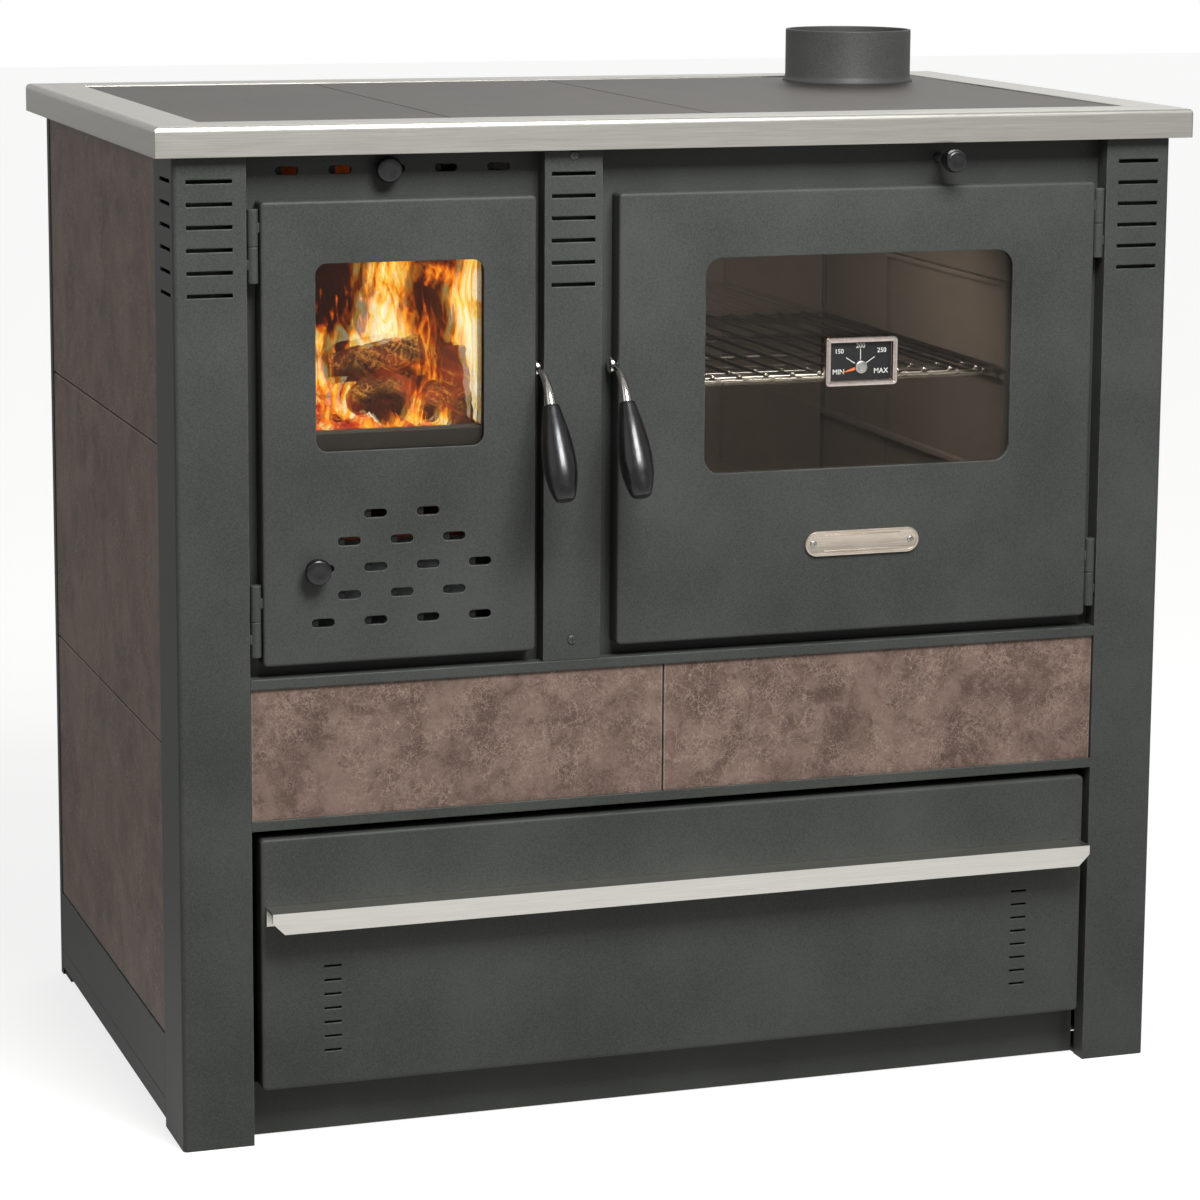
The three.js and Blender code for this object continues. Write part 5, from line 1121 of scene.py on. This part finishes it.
class COOKSTOVE_OT_seals(bpy.types.Operator):
    """Lay the seal ropes behind both doors, and the channel of the fire door's"""
    bl_idname = "cookstove.seals"
    bl_label = "Seal ropes"

    def execute(self, context):
        rope_r = context.scene.cookstove.rope / MM
        for door, (low, high) in SEAL_LOOPS.items():
            seal = tube(f"{door}_door_seal", rounded_loop(low, high, 14, -222.4 - rope_r, 8), rope_r,
                        closed=True, sides=6)
            finished(seal, f"{door}_door", "fireclay", finish="rope")
        low, high = SEAL_LOOPS["fire"]
        outer = block("seal_channel", (low[0] - 4, -239.7, low[1] - 4), (high[0] + 4, -225.6, high[1] + 4))
        inner = block("seal_channel_inside",
                      (low[0] + 4, -250, low[1] + 4), (high[0] - 4, -200, high[1] - 4))
        channel = eased(carved(outer, [inner]), 0.6, 2)
        channel.name = channel.data.name = "fire_door_seal_channel"
        finished(channel, "fire_door", "dark_steel")
        return {"FINISHED"}


class COOKSTOVE_OT_screws(bpy.types.Operator):
    """Set the cross-head screws of the centre post, the plate and the back"""
    bl_idname = "cookstove.screws"
    bl_label = "Screws"

    def execute(self, context):
        for kind, radius, turn, slot, finish, places in (
                ("post_screw", 3.8, (math.pi / 2, 0, 0), "dark_steel", "screw_dark",
                 [(-104, POST_FACE, 820), (-104, POST_FACE, 414)]),
                ("plate_screw", 3.0, (math.pi / 2, 0, 0), "pale_nickel", "screw_steel",
                 [(111.5, -244.0, 484.5), (201, -244.0, 484.5)]),
                ("back_screw", 4.0, (-math.pi / 2, 0, 0), "galvanised_steel", "screw_steel",
                 BACK_SCREWS)):
            head = lathe(kind, flowing([(radius, 0), (radius, radius * 0.14), (radius * 0.9, radius * 0.3),
                                        (radius * 0.6, radius * 0.42), (radius * 0.2, radius * 0.45)], 3), 32)
            arm, tip = radius * 0.58, radius * 0.11
            head = carved(head, [
                block("cross_a", (-arm, -tip, radius * 0.2), (arm, tip, radius)),
                block("cross_b", (-tip, -arm, radius * 0.2), (tip, arm, radius))])
            placed(head, (0, 0, 0), turn)
            body = "oven_door" if kind == "plate_screw" else "stove"
            for i, place in enumerate(places[1:], 1):
                finished(copied(head, f"{kind}_{i}", place), body, slot, finish=finish)
            placed(head, places[0])
            head.name = head.data.name = f"{kind}_0"
            finished(smooth(head), body, slot, finish=finish)
        return {"FINISHED"}


class COOKSTOVE_OT_fire(bpy.types.Operator):
    """Lay charred logs on embers and raise the flames"""
    bl_idname = "cookstove.fire"
    bl_label = "Fire"

    def execute(self, context):
        bark = clouds("bark", 0.013, 3)
        spread = random.Random(context.scene.cookstove.seed)
        for i, (start_at, end_at, radius) in enumerate(LOGS):
            ends = [Vector(start_at), Vector(end_at)]
            points = [tuple(ends[0].lerp(ends[1], t / 24)) for t in range(25)]
            girth = [1 + spread.uniform(-0.05, 0.05) + 0.10 * math.sin(t / 5 + i) for t in range(25)]
            log = tube(f"log_{i}", points, radius, radii=girth, sides=10)
            displaced(log, bark, 0.38 * radius, 0.5)
            finished(smooth(log, 70), "stove", "fireclay", finish="charred_wood")

        start()
        bpy.ops.mesh.primitive_grid_add(x_subdivisions=70, y_subdivisions=130, size=1)
        bed = named("ember_bed")
        bed.scale = (0.150, 0.270, 1)
        settle(bed)
        placed(bed, (-252.7, -72, 581))
        displaced(bed, clouds("ember heap", 0.014, 4), 46, 0.30, "Z")
        applied(bed, "depth", "SOLIDIFY", thickness=5 * MM, offset=-1)
        finished(smooth(bed, 60), "stove", "fireclay", finish="embers")

        billow = clouds("billow", 0.09, 1)
        for i, (left, right, foot, top, finish) in enumerate(FLAME_SHEETS):
            start()
            bpy.ops.mesh.primitive_grid_add(x_subdivisions=26, y_subdivisions=30, size=1)
            sheet = named(f"flame_{i}")
            run = Vector(right) - Vector(left)
            sheet.scale = (run.length * MM, (top - foot) * MM, 1)
            settle(sheet)
            placed(sheet, ((left[0] + right[0]) / 2, (left[1] + right[1]) / 2, (foot + top) / 2),
                   (math.pi / 2, 0, math.atan2(run.y, run.x)))
            displaced(sheet, billow, 10, 0.5, "Y")
            finished(smooth(sheet, 180), "stove", "needle_red", finish=finish)

        place = at(-236, -196, 676)
        light = lamp("fire_lamp", "SPOT", context.scene.cookstove.fireglow, place,
                     aimed(place, at(-285, 187, 640)), spot_size=math.radians(64), spot_blend=0.6,
                     color=(1.0, 0.34, 0.10), shadow_soft_size=0.012)
        light.visible_camera = light.visible_transmission = light.visible_glossy = False
        return {"FINISHED"}


class COOKSTOVE_OT_studio(bpy.types.Operator):
    """Set the floor, the plain soft light and the camera"""
    bl_idname = "cookstove.studio"
    bl_label = "Studio"

    def execute(self, context):
        scene, colors = context.scene, context.scene.cookstove
        scene.view_settings.view_transform = "Standard"

        start()
        bpy.ops.mesh.primitive_plane_add(size=30)
        floor = named("studio_floor")
        material, wires, sockets = new_material("Studio floor", Roughness=0.9, Specular_IOR_Level=0.1)
        wires.put(sockets["Base Color"], (*colors.floor_color, 1))
        nodes = material.node_tree.nodes
        clear, shiny = wires.rays()
        sheen = wires.span(wires.axes()["Y"], -0.5, 0.6, 0.62, 0.16)
        level = wires.most(wires.times(clear, 0.78), wires.times(shiny, sheen))
        glow = wires.add("ShaderNodeEmission", {"Strength": level})
        both = wires.add("ShaderNodeAddShader", {0: nodes["Principled BSDF"].outputs[0], 1: glow.outputs[0]})
        wires.put(nodes["Material Output"].inputs["Surface"], both.outputs[0])
        floor.data.materials.append(material)

        world = bpy.data.worlds.new("Studio")
        scene.world = world
        world.use_nodes = True
        wires = Wiring(world.node_tree)
        clear, shiny = wires.rays()
        sheen = wires.span(wires.axes("Generated")["Y"], -0.3, 0.6, 0.44, 0.58)
        level = wires.most(colors.skylight, wires.most(clear, wires.times(shiny, sheen)))
        backdrop = world.node_tree.nodes["Background"].inputs
        wires.put(backdrop["Color"], (1, 1, 1, 1))
        wires.put(backdrop["Strength"], level)

        for name, share, tilt, spin, angle in (
                ("sun_front", 1, 50, 24, 20), ("sun_left", 0.44, 62, -78, 40),
                ("sun_back", 0.9, 55, 150, 40)):
            lamp(name, "SUN", colors.daylight * share, (0, 0, 0),
                 (math.radians(tilt), 0, math.radians(spin)), angle=math.radians(angle))
        for name, place, aim, size, energy in (
                ("softbox", (0.0, -1.45, 2.0), (-0.1, -0.24, 0.74), 0.8, 52),
                ("oven_lamp", (0.13, -0.10, 0.764), (0.14, 0.0, 0.6), 0.16, 1.6)):
            light = lamp(name, "AREA", energy, place, aimed(place, aim), size=size)
            light.visible_camera = light.visible_transmission = False

        start()
        bpy.ops.object.camera_add(location=CAMERA_PLACE)
        camera = bpy.context.object
        yaw, pitch, roll = CAMERA_YAW, CAMERA_PITCH, CAMERA_ROLL
        forward = Vector((math.sin(yaw) * math.cos(pitch), math.cos(yaw) * math.cos(pitch), -math.sin(pitch)))
        side = Vector((math.cos(yaw), -math.sin(yaw), 0))
        rise = side.cross(forward)
        right = math.cos(roll) * side + math.sin(roll) * rise
        up = math.cos(roll) * rise - math.sin(roll) * side
        camera.rotation_euler = Matrix((right, up, -forward)).transposed().to_euler()
        camera.data.lens, camera.data.sensor_width = CAMERA_LENS, CAMERA_SENSOR
        camera.data.shift_y = CAMERA_SHIFT
        camera.data.sensor_fit = "HORIZONTAL"
        scene.camera = camera
        return {"FINISHED"}


STEPS = (COOKSTOVE_OT_studio, COOKSTOVE_OT_finishes, COOKSTOVE_OT_flue_collar, COOKSTOVE_OT_handles,
         COOKSTOVE_OT_knobs, COOKSTOVE_OT_hinges, COOKSTOVE_OT_thermometer, COOKSTOVE_OT_nameplate,
         COOKSTOVE_OT_oven_rack, COOKSTOVE_OT_seals, COOKSTOVE_OT_screws, COOKSTOVE_OT_fire)


class COOKSTOVE_PT_panel(bpy.types.Panel):
    """Lists the cookstove's settings and steps"""
    bl_idname = "COOKSTOVE_PT_panel"
    bl_label = "Cookstove"
    bl_space_type = "VIEW_3D"
    bl_region_type = "UI"
    bl_category = "Cookstove"

    def draw(self, context):
        settings = context.scene.cookstove
        column = self.layout.column(align=True)
        for name in CookstoveSettings.__annotations__:
            column.prop(settings, name)
        for step in STEPS:
            self.layout.operator(step.bl_idname)


CLASSES = (CookstoveSettings, *STEPS, COOKSTOVE_PT_panel)


def register():
    for kind in CLASSES:
        bpy.utils.register_class(kind)
    bpy.types.Scene.cookstove = PointerProperty(type=CookstoveSettings)


def unregister():
    del bpy.types.Scene.cookstove
    for kind in reversed(CLASSES):
        bpy.utils.unregister_class(kind)


def main():
    register()
    for step in STEPS:
        getattr(bpy.ops.cookstove, step.bl_idname.split(".")[1])()
    start()


if __name__ == "__main__":
    main()
